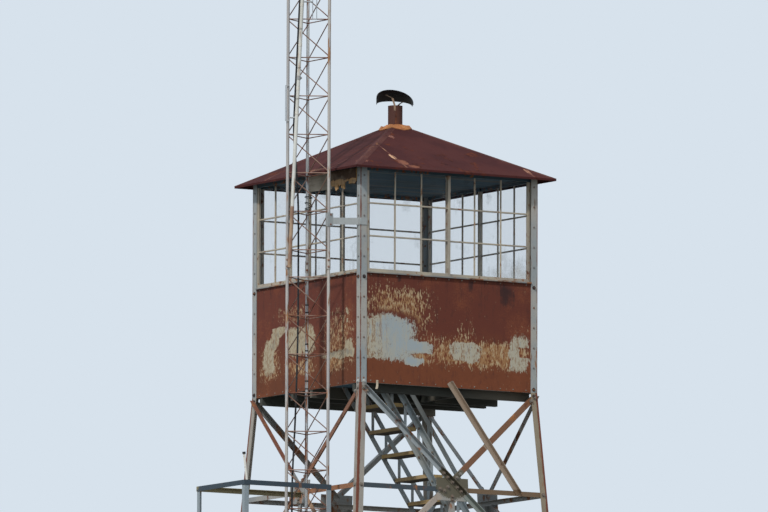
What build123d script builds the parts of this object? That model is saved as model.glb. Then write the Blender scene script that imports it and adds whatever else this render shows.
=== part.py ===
from build123d import *
import os
from math import atan, cos, degrees, radians, sin, sqrt, tan

# A steel fire lookout tower with a square cab, a zig-zag stair inside its legs, and a
# lattice radio mast that stands on a railed side balcony. Millimetres, +Z up, ground at Z = 0.
# The origin is the centre of the tower's square plan. South is -Y and west is -X.

# Overall plan and levels
CAB_SIDE = 2133.6
BATTER = 0.070
BAY = 2133.6
BAYS = 8
RISERS_PER_BAY = 9
FLOOR_ABOVE_JOINT = 75.0
SEAT_GAP = 0.2

# Legs and corner posts: equal angles with the heel outward
LEG_FLANGE = 76.2
LEG_THICK = 8.0
LEG_JOINT_GAP = 3.0
LEG_LENGTH_BAYS = 2
LEG_SPLICE_ABOVE_JOINT = 450.0
SPLICE_LENGTH = 320.0
SPLICE_FLANGE = 62.0
SPLICE_THICK = 6.0

# Base plates
BASE_PLATE_SIDE = 450.0
BASE_PLATE_THICK = 20.0
BASE_LEG_INSET = 38.0
ANCHOR_SPACING = 330.0
ANCHOR_HOLE_RADIUS = 11.0
SHOE_HEIGHT = 130.0

# Face bracing: equal angles
BRACE_FLANGE = 50.0
BRACE_THICK = 5.0
TOP_BRACE_DROP = 18.0
BRACE_DROP = 72.0
BRACE_RISE = 58.0
FOOT_BRACE_RISE = 190.0
BRACE_END_INSET = 30.0
BRACE_TOP_INSET = 37.0
GIRT_BELOW_CROSSING = 74.0
GIRT_END_INSET = 16.0
GUSSET_WIDTH = 380.0
GUSSET_ABOVE = 45.0
GUSSET_BELOW = 190.0
HANGER_GAP = 2.0

# The loose brace that hangs from the foot of the south panel
CAB_BRACE_ABOVE_SILL = 48.0
CAB_BRACE_STANDOFF = 1.6
CAB_BRACE_REACH = 795.0
CAB_BRACE_FOOT_DROP = 8.0

# Zig-zag stair
TREAD_RUN = 160.0
TREAD_DEPTH = 190.0
TREAD_WIDTH = 628.0
TREAD_THICK = 38.0
STAIR_INNER_EDGE = 165.0
DECK_EDGE = 543.0
UPRIGHT_WIDTH = 32.0
UPRIGHT_FROM_BACK_EDGE = 55.0
CHORD_BELOW_TREAD = 72.0
CHORD_ABOVE_TREAD = 224.0
HANDRAIL_ABOVE_TREAD = 1116.0
HANDRAIL_OVERRUN = 45.0
NEWEL_STEPS = (0, 3, 6, 9)
DECK_THICK = 38.0
DECK_EDGE_GAP = 12.0
JOIST_END = 15.4

# Cab floor
JOIST_WIDTH = 50.0
JOIST_DROP = 80.0
TRIMMER_DROP = 60.0
JOIST_ROWS = (-915.0, -80.0, 300.0, 915.0)
SHORT_JOIST_ROW = -300.0
HATCH_EAST_EDGE = 250.0

# Cab walls
PANEL_THICK = 3.0
PANEL_HEIGHT = 1130.0
FRAME_FLANGE = 40.0
FRAME_THICK = 5.0
SILL_THICK = 12.0
SILL_PROUD = 22.0
SILL_DEPTH = 62.0
SILL_DRIP = 4.0

# Window sashes: two to a side, the left one in the outer track
SASH_DEPTH = 22.0
SASH_STILE = 30.0
SASH_OVERLAP = 18.0
GLASS_THICK = 4.0

# Head of the wall, ceiling and roof
HEAD_PLATE_BOTTOM = 2212.0
HEAD_PLATE_FLANGE = 55.0
CEILING_THICK = 12.0
EAVE_BELOW_HEAD_PLATE = 2.0
EAVE_OVERHANG = 140.0
ROOF_RISE = 614.0
ROOF_SHEET = 2.5
ROOF_LIP = 22.0
ROOF_HOLE_MARGIN = 8.0
HIP_CAP_REACH = 62.0
HIP_CAP_THICK = 1.6

# Roof ventilator
PIPE_DIAMETER = 150.0
PIPE_WALL = 3.0
PIPE_ABOVE_COLLAR = 196.0
PIPE_BELOW_COLLAR = 110.0
COLLAR_HALF = 133.0
COLLAR_TOP_HALF = 103.0
COLLAR_RISE = 52.5
CAP_WIDTH = 390.0
CAP_RISE = 140.0
CAP_LENGTH = 300.0
CAP_SHEET = 4.0
CAP_ABOVE_PIPE = 12.0
CAP_TURN = -32.0
CAP_TILT = 3.0
STRAP_WIDTH = 26.0
STRAP_THICK = 4.0
STRAP_IN_PIPE = 60.0

# Railed balcony on the west side
BALCONY_WEST = -2436.5
BALCONY_SOUTH = -1064.0
BALCONY_NORTH = -127.0
SOUTH_RAIL_END = -1407.0
RAIL_ABOVE_DECK = 987.0
RAIL_FLANGE = 50.0
RAIL_THICK = 5.0
BEARER_ROWS = (-1034.0, -595.0, -157.0)
BEARER_FLANGE = 50.0
KNEE_ROWS = (-1034.0, -595.0)
KNEE_FLANGE = 50.0
KNEE_THICK = 5.0
KNEE_HEAD_FROM_WEST = 150.0
STUB_DIAMETER = 22.0
STUB_HEIGHT = 263.0
STUB_LEAN = 0.1
STUB_FROM_CORNER = (42.0, 25.0)
KNOB_DIAMETER = 34.0
KNOB_HEIGHT = 22.0

# Triangular lattice mast
MAST_SIDE = 422.0
MAST_FACE_X = -1345.0
MAST_CENTRE_Y = -684.0
MAST_LEG_DIAMETER = 32.0
MAST_TUBE_SIDES = 8
MAST_ROD_DIAMETER = 11.0
MAST_ROD_SIDES = 4
MAST_WELD_STEP = 14.0
MAST_END = 140.0
MAST_STEPS = 7
MAST_SECTION = 3048.0
MAST_SECTIONS = 2
MAST_FIRST_JOINT = -1836.0
MAST_PLATE_THICK = 10.0
MAST_PLATE_REACH = 304.0
MAST_PLATE_CORNER = 22.0
BRACKET_LEVEL = 1650.0
BRACKET_HEIGHT = 70.0
BRACKET_THICK = 6.0

# Antenna pole, two folded loops, and the cable
POLE_DIAMETER = 38.0
POLE_SIDES = 16
POLE_FOOT = 1167.0
POLE_ABOVE_MAST = 340.0
POLE_LEAN = 0.044
POLE_FROM_LEG = 21.3
POLE_OFF_FACE = 30.5
CLAMP_LEVELS = (1322.0, 1640.0)
CLAMP_HEIGHT = 30.0
CLAMP_BEYOND_POLE = 26.0
CLAMP_WALL = 4.5
LOOP_HEIGHT = 370.0
LOOP_WIDTH = 50.0
LOOP_TUBE = 9.0
LOOP_ARM = 18.0
LEFT_LOOP_LEVEL = 2856.0
LEFT_LOOP_REACH = 80.0
LEFT_ARM_DROP = 150.0
RIGHT_LOOP_LEVEL = 3900.0
RIGHT_LOOP_REACH = 108.0
CABLE_DIAMETER = 13.0
CABLE_BELOW_MAST_TOP = 10.0
CABLE_LEAVES_POLE = 2820.0

# Levels and planes that follow from the sizes above
RISER = BAY / RISERS_PER_BAY
CAB_BASE = BAYS * BAY - FLOOR_ABOVE_JOINT
FLOOR_TOP = CAB_BASE + FLOOR_ABOVE_JOINT
CAB_HALF = CAB_SIDE / 2
SLOPE_UNIT = sqrt(1 + BATTER ** 2)
ROOF_HALF = CAB_HALF + EAVE_OVERHANG
ROOF_PITCH = ROOF_RISE / ROOF_HALF
EAVE_HEIGHT = HEAD_PLATE_BOTTOM - EAVE_BELOW_HEAD_PLATE
MAST_TOP = MAST_FIRST_JOINT + MAST_SECTIONS * MAST_SECTION
PANEL_FACE = LEG_THICK + SEAT_GAP
FRAME_FACE = PANEL_FACE + PANEL_THICK + SEAT_GAP
FLOOR_REACH = CAB_HALF - FRAME_FACE - FRAME_THICK - SEAT_GAP
STAIR_OUTER_EDGE = STAIR_INNER_EDGE + TREAD_WIDTH
INNER_LAYER = -LEG_THICK - SEAT_GAP
SIDES = {"south": 0, "west": -90, "north": 180, "east": 90}
UP = Vector(0, 0, 1)
FACE_OUT = Vector(0, -1, BATTER).normalized()
FACE_UP = Vector(0, BATTER, 1).normalized()
STAIR_UP = Vector(RISER, 0, TREAD_RUN).normalized()


def joint_level(joint):
    """Height of a leg joint, counted down from the cab."""
    return CAB_BASE - joint * BAY


def half_at(level):
    """Half the width of the tower outside its legs at a height."""
    return CAB_HALF + BATTER * max(CAB_BASE - level, 0)


def turned(shape, side):
    """The south side's piece, turned about the tower's axis to another side."""
    return Rotation(0, 0, SIDES[side]) * shape


def solids_of(*groups):
    """One flat list of the solids in shapes and lists of shapes."""
    found = []
    for group in groups:
        if isinstance(group, (list, tuple)):
            found.extend(solids_of(*group))
        else:
            found.extend(group.solids())
    return found


def save(name, *groups):
    """Writes one sub-part, made of solids that stand clear of each other."""
    part = Compound(children=solids_of(*groups))
    part.label = name
    export_step(part, os.path.join("parts", name + ".step"))


def prism(points, amount, direction):
    """A flat outline pushed along a direction."""
    return extrude(make_face(Polyline(*points, close=True)), amount=amount, dir=direction)


def section_bar(start, end, across, points):
    """A straight bar with an outline drawn across its start, x along the across direction."""
    axis = Vector(end) - Vector(start)
    plane = Plane(origin=start, x_dir=across, z_dir=axis.normalized())
    return prism([plane.from_local_coords((x, y, 0)) for x, y in points], axis.length, axis.normalized())


def side_sign(start, end, across, toward):
    """Whether the outline's y axis points toward a direction, as +1 or -1."""
    axis = (Vector(end) - Vector(start)).normalized()
    return 1 if axis.cross(Vector(across)).dot(Vector(toward)) > 0 else -1


def angle_bar(start, end, flat_dir, out_dir, flat=BRACE_FLANGE, out=BRACE_FLANGE, thick=BRACE_THICK):
    """An angle section whose heel runs from start to end."""
    s = side_sign(start, end, flat_dir, out_dir)
    outline = [(0, 0), (flat, 0), (flat, s * thick), (thick, s * thick), (thick, s * out), (0, s * out)]
    return section_bar(start, end, flat_dir, outline)


def flat_bar(start, end, flat_dir, width, out_dir, thick):
    """A flat bar whose back centre line runs from start to end."""
    s = side_sign(start, end, flat_dir, out_dir)
    outline = [(-width / 2, 0), (width / 2, 0), (width / 2, s * thick), (-width / 2, s * thick)]
    return section_bar(start, end, flat_dir, outline)


def round_bar(start, end, diameter, sides):
    """A round bar of few sides between two points."""
    axis = Vector(end) - Vector(start)
    plane = Plane(origin=start, z_dir=axis.normalized())
    return extrude(plane * RegularPolygon(diameter / 2, sides), amount=axis.length, dir=axis.normalized())


def block(x_range, y_range, z_range):
    """A rectangular block between two corners."""
    ranges = [sorted(pair) for pair in (x_range, y_range, z_range)]
    size = [high - low for low, high in ranges]
    centre = [(high + low) / 2 for low, high in ranges]
    return Pos(*centre) * Box(*size)


def face_point(x, level, out):
    """A point over the battered south face, out millimetres proud of the legs' face."""
    return Vector(x, -half_at(level) - out / SLOPE_UNIT, level + out * BATTER / SLOPE_UNIT)


def face_upward(axis):
    """The direction in the south face that is square to a bar and points up."""
    across = FACE_OUT.cross(axis).normalized()
    return across if across.Z > 0 else across * -1


def corner_angle(low, high, flange=LEG_FLANGE, thick=LEG_THICK, inset=0.0):
    """A south-west corner angle between two levels, that follows the legs' batter."""
    heel = -half_at(low) + inset
    outline = [(0, 0), (flange, 0), (flange, thick), (thick, thick), (thick, flange), (0, flange)]
    shift = half_at(low) - half_at(high)
    path = Vector(shift, shift, high - low)
    return prism([(heel + x, heel + y, low) for x, y in outline], path.length, path.normalized())


# Legs, splices and base plates

def splice_levels():
    """Heights at which two lengths of a leg meet."""
    joints = range(LEG_LENGTH_BAYS, BAYS, LEG_LENGTH_BAYS)
    return [joint_level(joint) + LEG_SPLICE_ABOVE_JOINT for joint in joints]


def leg():
    """The lengths of one leg at the south-west corner, from the cab down to the base plate."""
    tops = [CAB_BASE] + [level - LEG_JOINT_GAP / 2 for level in splice_levels()]
    feet = [level + LEG_JOINT_GAP / 2 for level in splice_levels()] + [BASE_PLATE_THICK]
    return [corner_angle(foot, top) for top, foot in zip(tops, feet)]


def leg_splices():
    """Inner splice angles nested in the legs at every corner."""
    pieces = []
    for level in splice_levels():
        low = level - SPLICE_LENGTH / 2
        splice = corner_angle(low, low + SPLICE_LENGTH, SPLICE_FLANGE, SPLICE_THICK, LEG_THICK + SEAT_GAP)
        pieces.extend(turned(splice, side) for side in SIDES)
    return pieces


def base_plate():
    """The south-west base plate: four anchor holes and a shoe angle nested in the leg."""
    centre = -half_at(BASE_PLATE_THICK) + BASE_LEG_INSET
    plate = Pos(centre, centre, BASE_PLATE_THICK / 2) * Box(BASE_PLATE_SIDE, BASE_PLATE_SIDE, BASE_PLATE_THICK)
    for place in GridLocations(ANCHOR_SPACING, ANCHOR_SPACING, 2, 2):
        plate -= Pos(centre, centre, 0) * place * Cylinder(ANCHOR_HOLE_RADIUS, 4 * BASE_PLATE_THICK)
    low = BASE_PLATE_THICK / 2
    shoe = corner_angle(low, BASE_PLATE_THICK + SHOE_HEIGHT, SPLICE_FLANGE, SPLICE_THICK, LEG_THICK + SEAT_GAP)
    return plate + shoe


# Face bracing, drawn on the south face

def brace_levels(bay):
    """Upper and lower working levels of a bay's diagonals."""
    top = joint_level(bay) - (TOP_BRACE_DROP if bay == 0 else BRACE_DROP)
    foot = FOOT_BRACE_RISE if bay == BAYS - 1 else joint_level(bay + 1) + BRACE_RISE
    return top, foot


def crossing_level(bay):
    """Height at which a bay's two diagonals cross."""
    top, foot = brace_levels(bay)
    return top - (top - foot) * half_at(top) / (half_at(top) + half_at(foot))


def joint_girt_level(joint):
    """Middle of a joint girt, whose top flange carries the ends of the landing joists."""
    seat = joint_level(joint) + FLOOR_ABOVE_JOINT - DECK_THICK - BRACE_FLANGE - 2 * SEAT_GAP
    return seat - BRACE_FLANGE / 2 * SLOPE_UNIT + BATTER * JOIST_END


def mid_girt_level(bay):
    """Middle of the girt just below a bay's crossing."""
    return crossing_level(bay) - GIRT_BELOW_CROSSING


def outer_diagonal(bay):
    """The diagonal outside the legs, down from the upper left, flange outward on its upper edge."""
    top, foot = brace_levels(bay)
    high = face_point(-half_at(top), top, SEAT_GAP)
    low = face_point(half_at(foot), foot, SEAT_GAP)
    axis = (low - high).normalized()
    across = face_upward(axis)
    heel = across * (BRACE_FLANGE / 2)
    inset = axis * (BRACE_END_INSET / axis.X)
    return angle_bar(high + inset + heel, low - inset + heel, across * -1, FACE_OUT)


def inner_diagonals(bay):
    """The two halves of the inner diagonal, above and below the girt at the crossing."""
    top, foot = brace_levels(bay)
    high = face_point(half_at(top), top, INNER_LAYER)
    low = face_point(-half_at(foot), foot, INNER_LAYER)
    axis = (low - high).normalized()
    across = face_upward(axis)
    heel = across * (BRACE_FLANGE / 2)
    crossing = high + axis * (-high.X / axis.X)
    drop = GIRT_BELOW_CROSSING + BRACE_FLANGE / 2 + HANGER_GAP + across.Z * BRACE_FLANGE / 2
    below = axis * (-drop / axis.Z)
    start = high + axis * (-BRACE_TOP_INSET / axis.X)
    end = low - axis * (-BRACE_END_INSET / axis.X)
    upper = angle_bar(start + heel, crossing + heel, across * -1, FACE_OUT * -1)
    lower = angle_bar(crossing + below + heel, end + heel, across * -1, FACE_OUT * -1)
    return [upper, lower]


def girt(level):
    """A horizontal angle between two legs, mitred in plan at both ends."""
    reach = half_at(level) - GIRT_END_INSET
    heel = face_point(0, level, INNER_LAYER) + FACE_UP * (BRACE_FLANGE / 2)
    end = Vector(reach, 0, 0)
    bar = angle_bar(heel - end, heel + end, FACE_UP * -1, FACE_OUT * -1)
    low = heel.Z - 2 * BRACE_FLANGE
    plan = []
    for depth in (-BRACE_FLANGE, 2 * BRACE_FLANGE):
        half = reach - depth
        plan.append([(-half, heel.Y + depth, low), (half, heel.Y + depth, low)])
    return bar & prism(plan[0] + plan[1][::-1], 4 * BRACE_FLANGE, UP)


def hanger(bay):
    """The upright angle from the girt at the crossing down to the girt at the joint."""
    top = mid_girt_level(bay) - BRACE_FLANGE / 2 - HANGER_GAP
    foot = joint_girt_level(bay + 1) + BRACE_FLANGE / 2 + HANGER_GAP
    start = face_point(-BRACE_FLANGE / 2, foot, INNER_LAYER)
    end = face_point(-BRACE_FLANGE / 2, top, INNER_LAYER)
    return angle_bar(start, end, Vector(1, 0, 0), FACE_OUT * -1)


def crossing_gusset(bay):
    """The plate in the plane of the legs that both diagonals, girt and hanger bolt to."""
    level = crossing_level(bay)
    foot = face_point(0, level - GUSSET_BELOW, 0)
    top = face_point(0, level + GUSSET_ABOVE, 0)
    return flat_bar(foot, top, Vector(1, 0, 0), GUSSET_WIDTH, FACE_OUT * -1, LEG_THICK)


def hanger_foot_gusset(bay):
    """The small plate that joins a hanger's foot to the joint girt."""
    level = joint_girt_level(bay + 1)
    foot = face_point(0, level - BRACE_FLANGE / 2, 0)
    top = face_point(0, level + 2 * BRACE_FLANGE, 0)
    return flat_bar(foot, top, Vector(1, 0, 0), 2 * BRACE_FLANGE, FACE_OUT * -1, LEG_THICK)


def face_bracing():
    """All the bracing of one face."""
    pieces = []
    for bay in range(BAYS):
        pieces.append(outer_diagonal(bay))
        pieces.append(inner_diagonals(bay))
        pieces.append(girt(mid_girt_level(bay)))
        pieces.append(crossing_gusset(bay))
    for bay in range(BAYS - 1):
        pieces.append(girt(joint_girt_level(bay + 1)))
        pieces.append(hanger(bay))
        pieces.append(hanger_foot_gusset(bay))
    return solids_of(pieces)


def cab_brace():
    """The extra brace from the foot of the south panel down to the first girt."""
    level = mid_girt_level(0) - CAB_BRACE_FOOT_DROP
    high = Vector(0, -CAB_HALF + PANEL_FACE - CAB_BRACE_STANDOFF, CAB_BASE + CAB_BRACE_ABOVE_SILL)
    low = face_point(CAB_BRACE_REACH, level, -LEG_THICK)
    across = face_upward((low - high).normalized())
    heel = across * (BRACE_FLANGE / 2)
    return angle_bar(high + heel, low + heel, across * -1, FACE_OUT)


# Stair: a flight is drawn rising to the west in the south half, its head at Z = 0

def back_edge(step):
    """West edge of a tread, counted down from the flight's head."""
    return -DECK_EDGE - TREAD_DEPTH + step * TREAD_RUN


def upright_x(step):
    """Middle of the upright at a tread."""
    return back_edge(step) + UPRIGHT_FROM_BACK_EDGE


def stair_line(offset, x):
    """Height of a line parallel to the flight, offset above the treads at their uprights."""
    return offset - (x - upright_x(0)) / TREAD_RUN * RISER


def sloping_angle(offset, plane_y, out, x_range, z_range):
    """A chord or rail parallel to the flight, cut upright and level at the ends of its ranges."""
    west = back_edge(-3)
    east = back_edge(RISERS_PER_BAY + 3)
    heel = STAIR_UP * (BRACE_FLANGE / 2)
    start = Vector(west, plane_y, stair_line(offset, west)) + heel
    end = Vector(east, plane_y, stair_line(offset, east)) + heel
    bar = angle_bar(start, end, STAIR_UP * -1, Vector(0, out, 0))
    reach = (plane_y - 2 * BRACE_FLANGE, plane_y + 2 * BRACE_FLANGE)
    return bar & block(x_range, reach, z_range)


def flight_sides():
    """A flight's two tread ends, each with its outward direction along Y."""
    return ((-STAIR_OUTER_EDGE, -1), (-STAIR_INNER_EDGE, 1))


def chord_plane(tread_end, out):
    """Plane of the chords and the handrail, outside the uprights."""
    return tread_end + out * (2 * SEAT_GAP + BRACE_THICK)


def tread_upright(x, tread_end, out, low, high):
    """A flat upright against the treads' ends."""
    y = tread_end + out * SEAT_GAP
    return flat_bar((x, y, low), (x, y, high), Vector(1, 0, 0), UPRIGHT_WIDTH, Vector(0, out, 0), BRACE_THICK)


def flight_foot(flight):
    """Level at which a flight's sides are cut: just over the landing, or on the ground."""
    return -BAY + (0.0 if flight == BAYS - 1 else SEAT_GAP)


def flight_stringers(flight):
    """Both sides of a flight: two chords joined by an upright at each tread."""
    under_deck = -DECK_THICK - SEAT_GAP
    far = back_edge(RISERS_PER_BAY + 2)
    foot = flight_foot(flight)
    top = under_deck if flight == 0 else 2 * RISER
    pieces = []
    for tread_end, out in flight_sides():
        plane_y = chord_plane(tread_end, out)
        below = sloping_angle(-CHORD_BELOW_TREAD, plane_y, out, (back_edge(-1), far), (foot, under_deck))
        above = sloping_angle(CHORD_ABOVE_TREAD, plane_y, out, (-DECK_EDGE + SEAT_GAP, far), (foot, top))
        pieces += [below, above]
        for step in range(1, RISERS_PER_BAY):
            low = -step * RISER - CHORD_BELOW_TREAD
            high = min(-step * RISER + CHORD_ABOVE_TREAD, under_deck)
            pieces.append(tread_upright(upright_x(step), tread_end, out, low, high))
    return pieces


def flight_handrail(flight):
    """The handrail on the inner side of a flight, on posts from the chords and landings."""
    tread_end, out = flight_sides()[1]
    head = -DECK_THICK - SEAT_GAP if flight == 0 else 2 * HANDRAIL_ABOVE_TREAD
    ends = (upright_x(0) - HANDRAIL_OVERRUN, upright_x(RISERS_PER_BAY) + HANDRAIL_OVERRUN)
    pieces = [sloping_angle(HANDRAIL_ABOVE_TREAD, chord_plane(tread_end, out), out, ends, (-BAY, head))]
    for step in NEWEL_STEPS:
        x = upright_x(step) + UPRIGHT_WIDTH + SEAT_GAP
        low = stair_line(-CHORD_BELOW_TREAD, x)
        if step in (0, RISERS_PER_BAY):
            x = upright_x(step)
            low = -step * RISER + (flight_foot(flight) + BAY if step else SEAT_GAP)
        high = stair_line(HANDRAIL_ABOVE_TREAD, x)
        if high < head:
            pieces.append(tread_upright(x, tread_end, out, low, high))
    return pieces


def flight_treads(flight):
    """The wooden treads of a flight."""
    width = (-STAIR_OUTER_EDGE, -STAIR_INNER_EDGE)
    pieces = []
    for step in range(1, RISERS_PER_BAY):
        x = back_edge(step)
        top = -step * RISER
        pieces.append(block((x, x + TREAD_DEPTH), width, (top - TREAD_THICK, top)))
    return pieces


def placed_flights(maker):
    """A maker's pieces for every flight, turned half round on every other bay."""
    placed = []
    for flight in range(BAYS):
        place = Pos(0, 0, FLOOR_TOP - flight * BAY) * Rotation(0, 0, 180 * (flight % 2))
        placed.extend(place * piece for piece in solids_of(maker(flight)))
    return placed


def landing_outer(joint):
    """Outer edge of a landing, clear of the bracing."""
    return half_at(joint_girt_level(joint)) - LEG_THICK - SEAT_GAP - BRACE_FLANGE - DECK_EDGE_GAP


def landing_deck(joint):
    """The deck of a landing at one end of the stair: east at odd joints, west at even ones."""
    top = joint_level(joint) + FLOOR_ABOVE_JOINT
    outer = landing_outer(joint)
    deck = block((DECK_EDGE, outer), (-outer, outer), (top - DECK_THICK, top))
    return Rotation(0, 0, 180 * (1 - joint % 2)) * deck


def landing_joists(joint):
    """The two joists under a landing, from the south girt to the north girt."""
    seat = joint_level(joint) + FLOOR_ABOVE_JOINT - DECK_THICK - SEAT_GAP
    reach = half_at(joint_girt_level(joint)) - JOIST_END
    pieces = []
    for x, out in ((DECK_EDGE + 2 * BRACE_THICK, 1), (landing_outer(joint) - 2 * BRACE_THICK, -1)):
        joist = angle_bar((x, -reach, seat), (x, reach, seat), UP * -1, Vector(out, 0, 0))
        pieces.append(Rotation(0, 0, 180 * (1 - joint % 2)) * joist)
    return pieces


# Cab

def roof_level(distance):
    """Height of the roof's upper surface at a distance from the axis."""
    return CAB_BASE + EAVE_HEIGHT + (ROOF_HALF - distance) * ROOF_PITCH


def corner_post():
    """The south-west corner post of the cab, up to the roof sheet."""
    return corner_angle(CAB_BASE, roof_level(CAB_HALF) - ROOF_SHEET - SEAT_GAP)


def cab_floor():
    """Four floor slabs round the hatch over the head of the stair."""
    height = (FLOOR_TOP - DECK_THICK, FLOOR_TOP)
    full = (-FLOOR_REACH, FLOOR_REACH)
    west = block((-FLOOR_REACH, -DECK_EDGE), full, height)
    east = block((HATCH_EAST_EDGE, FLOOR_REACH), full, height)
    middle = (-DECK_EDGE + SEAT_GAP, HATCH_EAST_EDGE - SEAT_GAP)
    south = block(middle, (-FLOOR_REACH, -STAIR_OUTER_EDGE), height)
    north = block(middle, (-STAIR_INNER_EDGE, FLOOR_REACH), height)
    return [west, east, south, north]


def floor_joist(x_range, row):
    """A wooden joist under the floor, coped under the floor angles at the cab walls."""
    top = FLOOR_TOP - DECK_THICK - SEAT_GAP
    joist = block(x_range, (row - JOIST_WIDTH / 2, row + JOIST_WIDTH / 2), (CAB_BASE - JOIST_DROP, top))
    edge = CAB_HALF - FRAME_FACE - FRAME_FLANGE - SEAT_GAP
    for sign in (-1, 1):
        cope = (top - FRAME_THICK - SEAT_GAP, top + 1)
        joist -= block((sign * edge, sign * CAB_HALF), (-CAB_HALF, CAB_HALF), cope)
    return joist


def floor_frame():
    """The joists from west to east and the two trimmers of the hatch."""
    pieces = [floor_joist((-FLOOR_REACH, FLOOR_REACH), row) for row in JOIST_ROWS]
    start = HATCH_EAST_EDGE + JOIST_WIDTH + SEAT_GAP
    pieces.append(floor_joist((start, FLOOR_REACH), SHORT_JOIST_ROW))
    rows = (JOIST_ROWS[0] + JOIST_WIDTH / 2 + SEAT_GAP, JOIST_ROWS[1] - JOIST_WIDTH / 2 - SEAT_GAP)
    height = (CAB_BASE - TRIMMER_DROP, FLOOR_TOP - DECK_THICK - SEAT_GAP)
    for x in (-DECK_EDGE - JOIST_WIDTH, HATCH_EAST_EDGE):
        pieces.append(block((x, x + JOIST_WIDTH), rows, height))
    return pieces


def panel():
    """The steel sheet below the south windows."""
    reach = CAB_HALF - FRAME_FACE
    y = -CAB_HALF + PANEL_FACE
    return block((-reach, reach), (y, y + PANEL_THICK), (CAB_BASE, CAB_BASE + PANEL_HEIGHT))


def panel_frame(side):
    """The floor angle and the sill angle behind the panel of one side."""
    lapped = side in ("east", "west")
    reach = CAB_HALF - FRAME_FACE - (FRAME_FLANGE + SEAT_GAP if lapped else SEAT_GAP)
    y = -CAB_HALF + FRAME_FACE
    pieces = []
    for top in (FLOOR_TOP - DECK_THICK - SEAT_GAP, CAB_BASE + PANEL_HEIGHT):
        ends = ((-reach, y, top), (reach, y, top))
        bar = angle_bar(*ends, UP * -1, Vector(0, 1, 0), FRAME_FLANGE, FRAME_FLANGE, FRAME_THICK)
        pieces.append(turned(bar, side))
    return pieces


def window_half():
    """Half the clear width between the corner posts."""
    return CAB_HALF - LEG_FLANGE - SEAT_GAP


def window_sill():
    """The drip sill over the south panel."""
    half = window_half()
    back = -CAB_HALF + PANEL_FACE - SEAT_GAP
    front = back - SILL_PROUD
    low = CAB_BASE + PANEL_HEIGHT + SEAT_GAP
    high = low + SILL_THICK
    outline = [(front, low - SILL_DRIP), (back, low - SILL_DRIP), (back, low), (front + SILL_DEPTH, low)]
    outline += [(front + SILL_DEPTH, high), (back, high), (front, high - SILL_DRIP)]
    return prism([(-half, y, z) for y, z in outline], 2 * half, Vector(1, 0, 0))


def sash_tracks():
    """Left edge, right edge and front of the two south sashes."""
    half = window_half()
    front = -CAB_HALF + PANEL_FACE + SEAT_GAP
    back_track = front + SASH_DEPTH + SEAT_GAP
    return ((-half, SASH_OVERLAP, front), (-SASH_OVERLAP, half, back_track))


def sash_heights():
    """Bottom and top of the sashes."""
    low = CAB_BASE + PANEL_HEIGHT + SILL_THICK + 2 * SEAT_GAP
    return low, CAB_BASE + HEAD_PLATE_BOTTOM - SEAT_GAP


def sash_frames():
    """The two sash frames of the south side."""
    low, high = sash_heights()
    frames = []
    for left, right, front in sash_tracks():
        frame = block((left, right), (front, front + SASH_DEPTH), (low, high))
        sides = (left + SASH_STILE, right - SASH_STILE)
        frame -= block(sides, (front - 1, front + SASH_DEPTH + 1), (low + SASH_STILE, high - SASH_STILE))
        frames.append(frame)
    return frames


def sash_glass():
    """The glass of the two south sashes."""
    low, high = sash_heights()
    inset = SASH_STILE + SEAT_GAP
    panes = []
    for left, right, front in sash_tracks():
        face = front + (SASH_DEPTH - GLASS_THICK) / 2
        sides = (left + inset, right - inset)
        panes.append(block(sides, (face, face + GLASS_THICK), (low + inset, high - inset)))
    return panes


def head_plate(side):
    """The angle at the head of one wall, under the ceiling and the roof sheets."""
    lapped = side in ("east", "west")
    reach = CAB_HALF - PANEL_FACE - (HEAD_PLATE_FLANGE + SEAT_GAP if lapped else SEAT_GAP)
    y = -CAB_HALF + PANEL_FACE
    bottom = CAB_BASE + HEAD_PLATE_BOTTOM
    height = roof_level(-y) - ROOF_SHEET - SEAT_GAP - bottom
    ends = ((-reach, y, bottom), (reach, y, bottom))
    return turned(angle_bar(*ends, UP, Vector(0, 1, 0), height, HEAD_PLATE_FLANGE, FRAME_THICK), side)


def ceiling():
    """The board over the cab, resting on the head plates."""
    reach = CAB_HALF - PANEL_FACE - FRAME_THICK - SEAT_GAP
    low = CAB_BASE + HEAD_PLATE_BOTTOM + FRAME_THICK + SEAT_GAP
    return block((-reach, reach), (-reach, reach), (low, low + CEILING_THICK))


def roof_sheet():
    """The south roof sheet with its turned-down lip."""
    inner = PIPE_DIAMETER / 2 + ROOF_HOLE_MARGIN
    points = []
    for half, sign in ((ROOF_HALF, -1), (ROOF_HALF, 1), (inner, 1), (inner, -1)):
        points.append((sign * (half - SEAT_GAP), -half, roof_level(half)))
    sheet = prism(points, ROOF_SHEET, UP * -1)
    edge = ROOF_HALF - ROOF_SHEET - SEAT_GAP
    top = roof_level(ROOF_HALF)
    lip = block((-edge, edge), (-ROOF_HALF, -ROOF_HALF + ROOF_SHEET), (top - ROOF_LIP, top))
    return sheet + lip


def hip_cap():
    """The bent strip over the south-west hip, from the eave up to the collar."""
    low = ROOF_HALF
    high = COLLAR_HALF + SEAT_GAP
    wings = []
    for swap in (False, True):
        points = []
        for half, inward in ((low, 0), (low, HIP_CAP_REACH), (high, HIP_CAP_REACH), (high, 0)):
            plan = (-half, -half + inward) if swap else (-half + inward, -half)
            points.append((*plan, roof_level(half) + SEAT_GAP))
        wings.append(prism(points, HIP_CAP_THICK, UP))
    return wings[0] + wings[1]


def frustum(half, low, pitch, height):
    """A square pyramid frustum standing on a level."""
    base = Pos(0, 0, low) * Rectangle(2 * half, 2 * half)
    return extrude(base, amount=height, taper=degrees(atan(1 / pitch)))


def collar_top():
    """Top of the flashing round the ventilator pipe."""
    return roof_level(COLLAR_HALF) + SEAT_GAP + COLLAR_RISE


def pipe_top():
    """Rim of the ventilator pipe."""
    return collar_top() + PIPE_ABOVE_COLLAR


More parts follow.
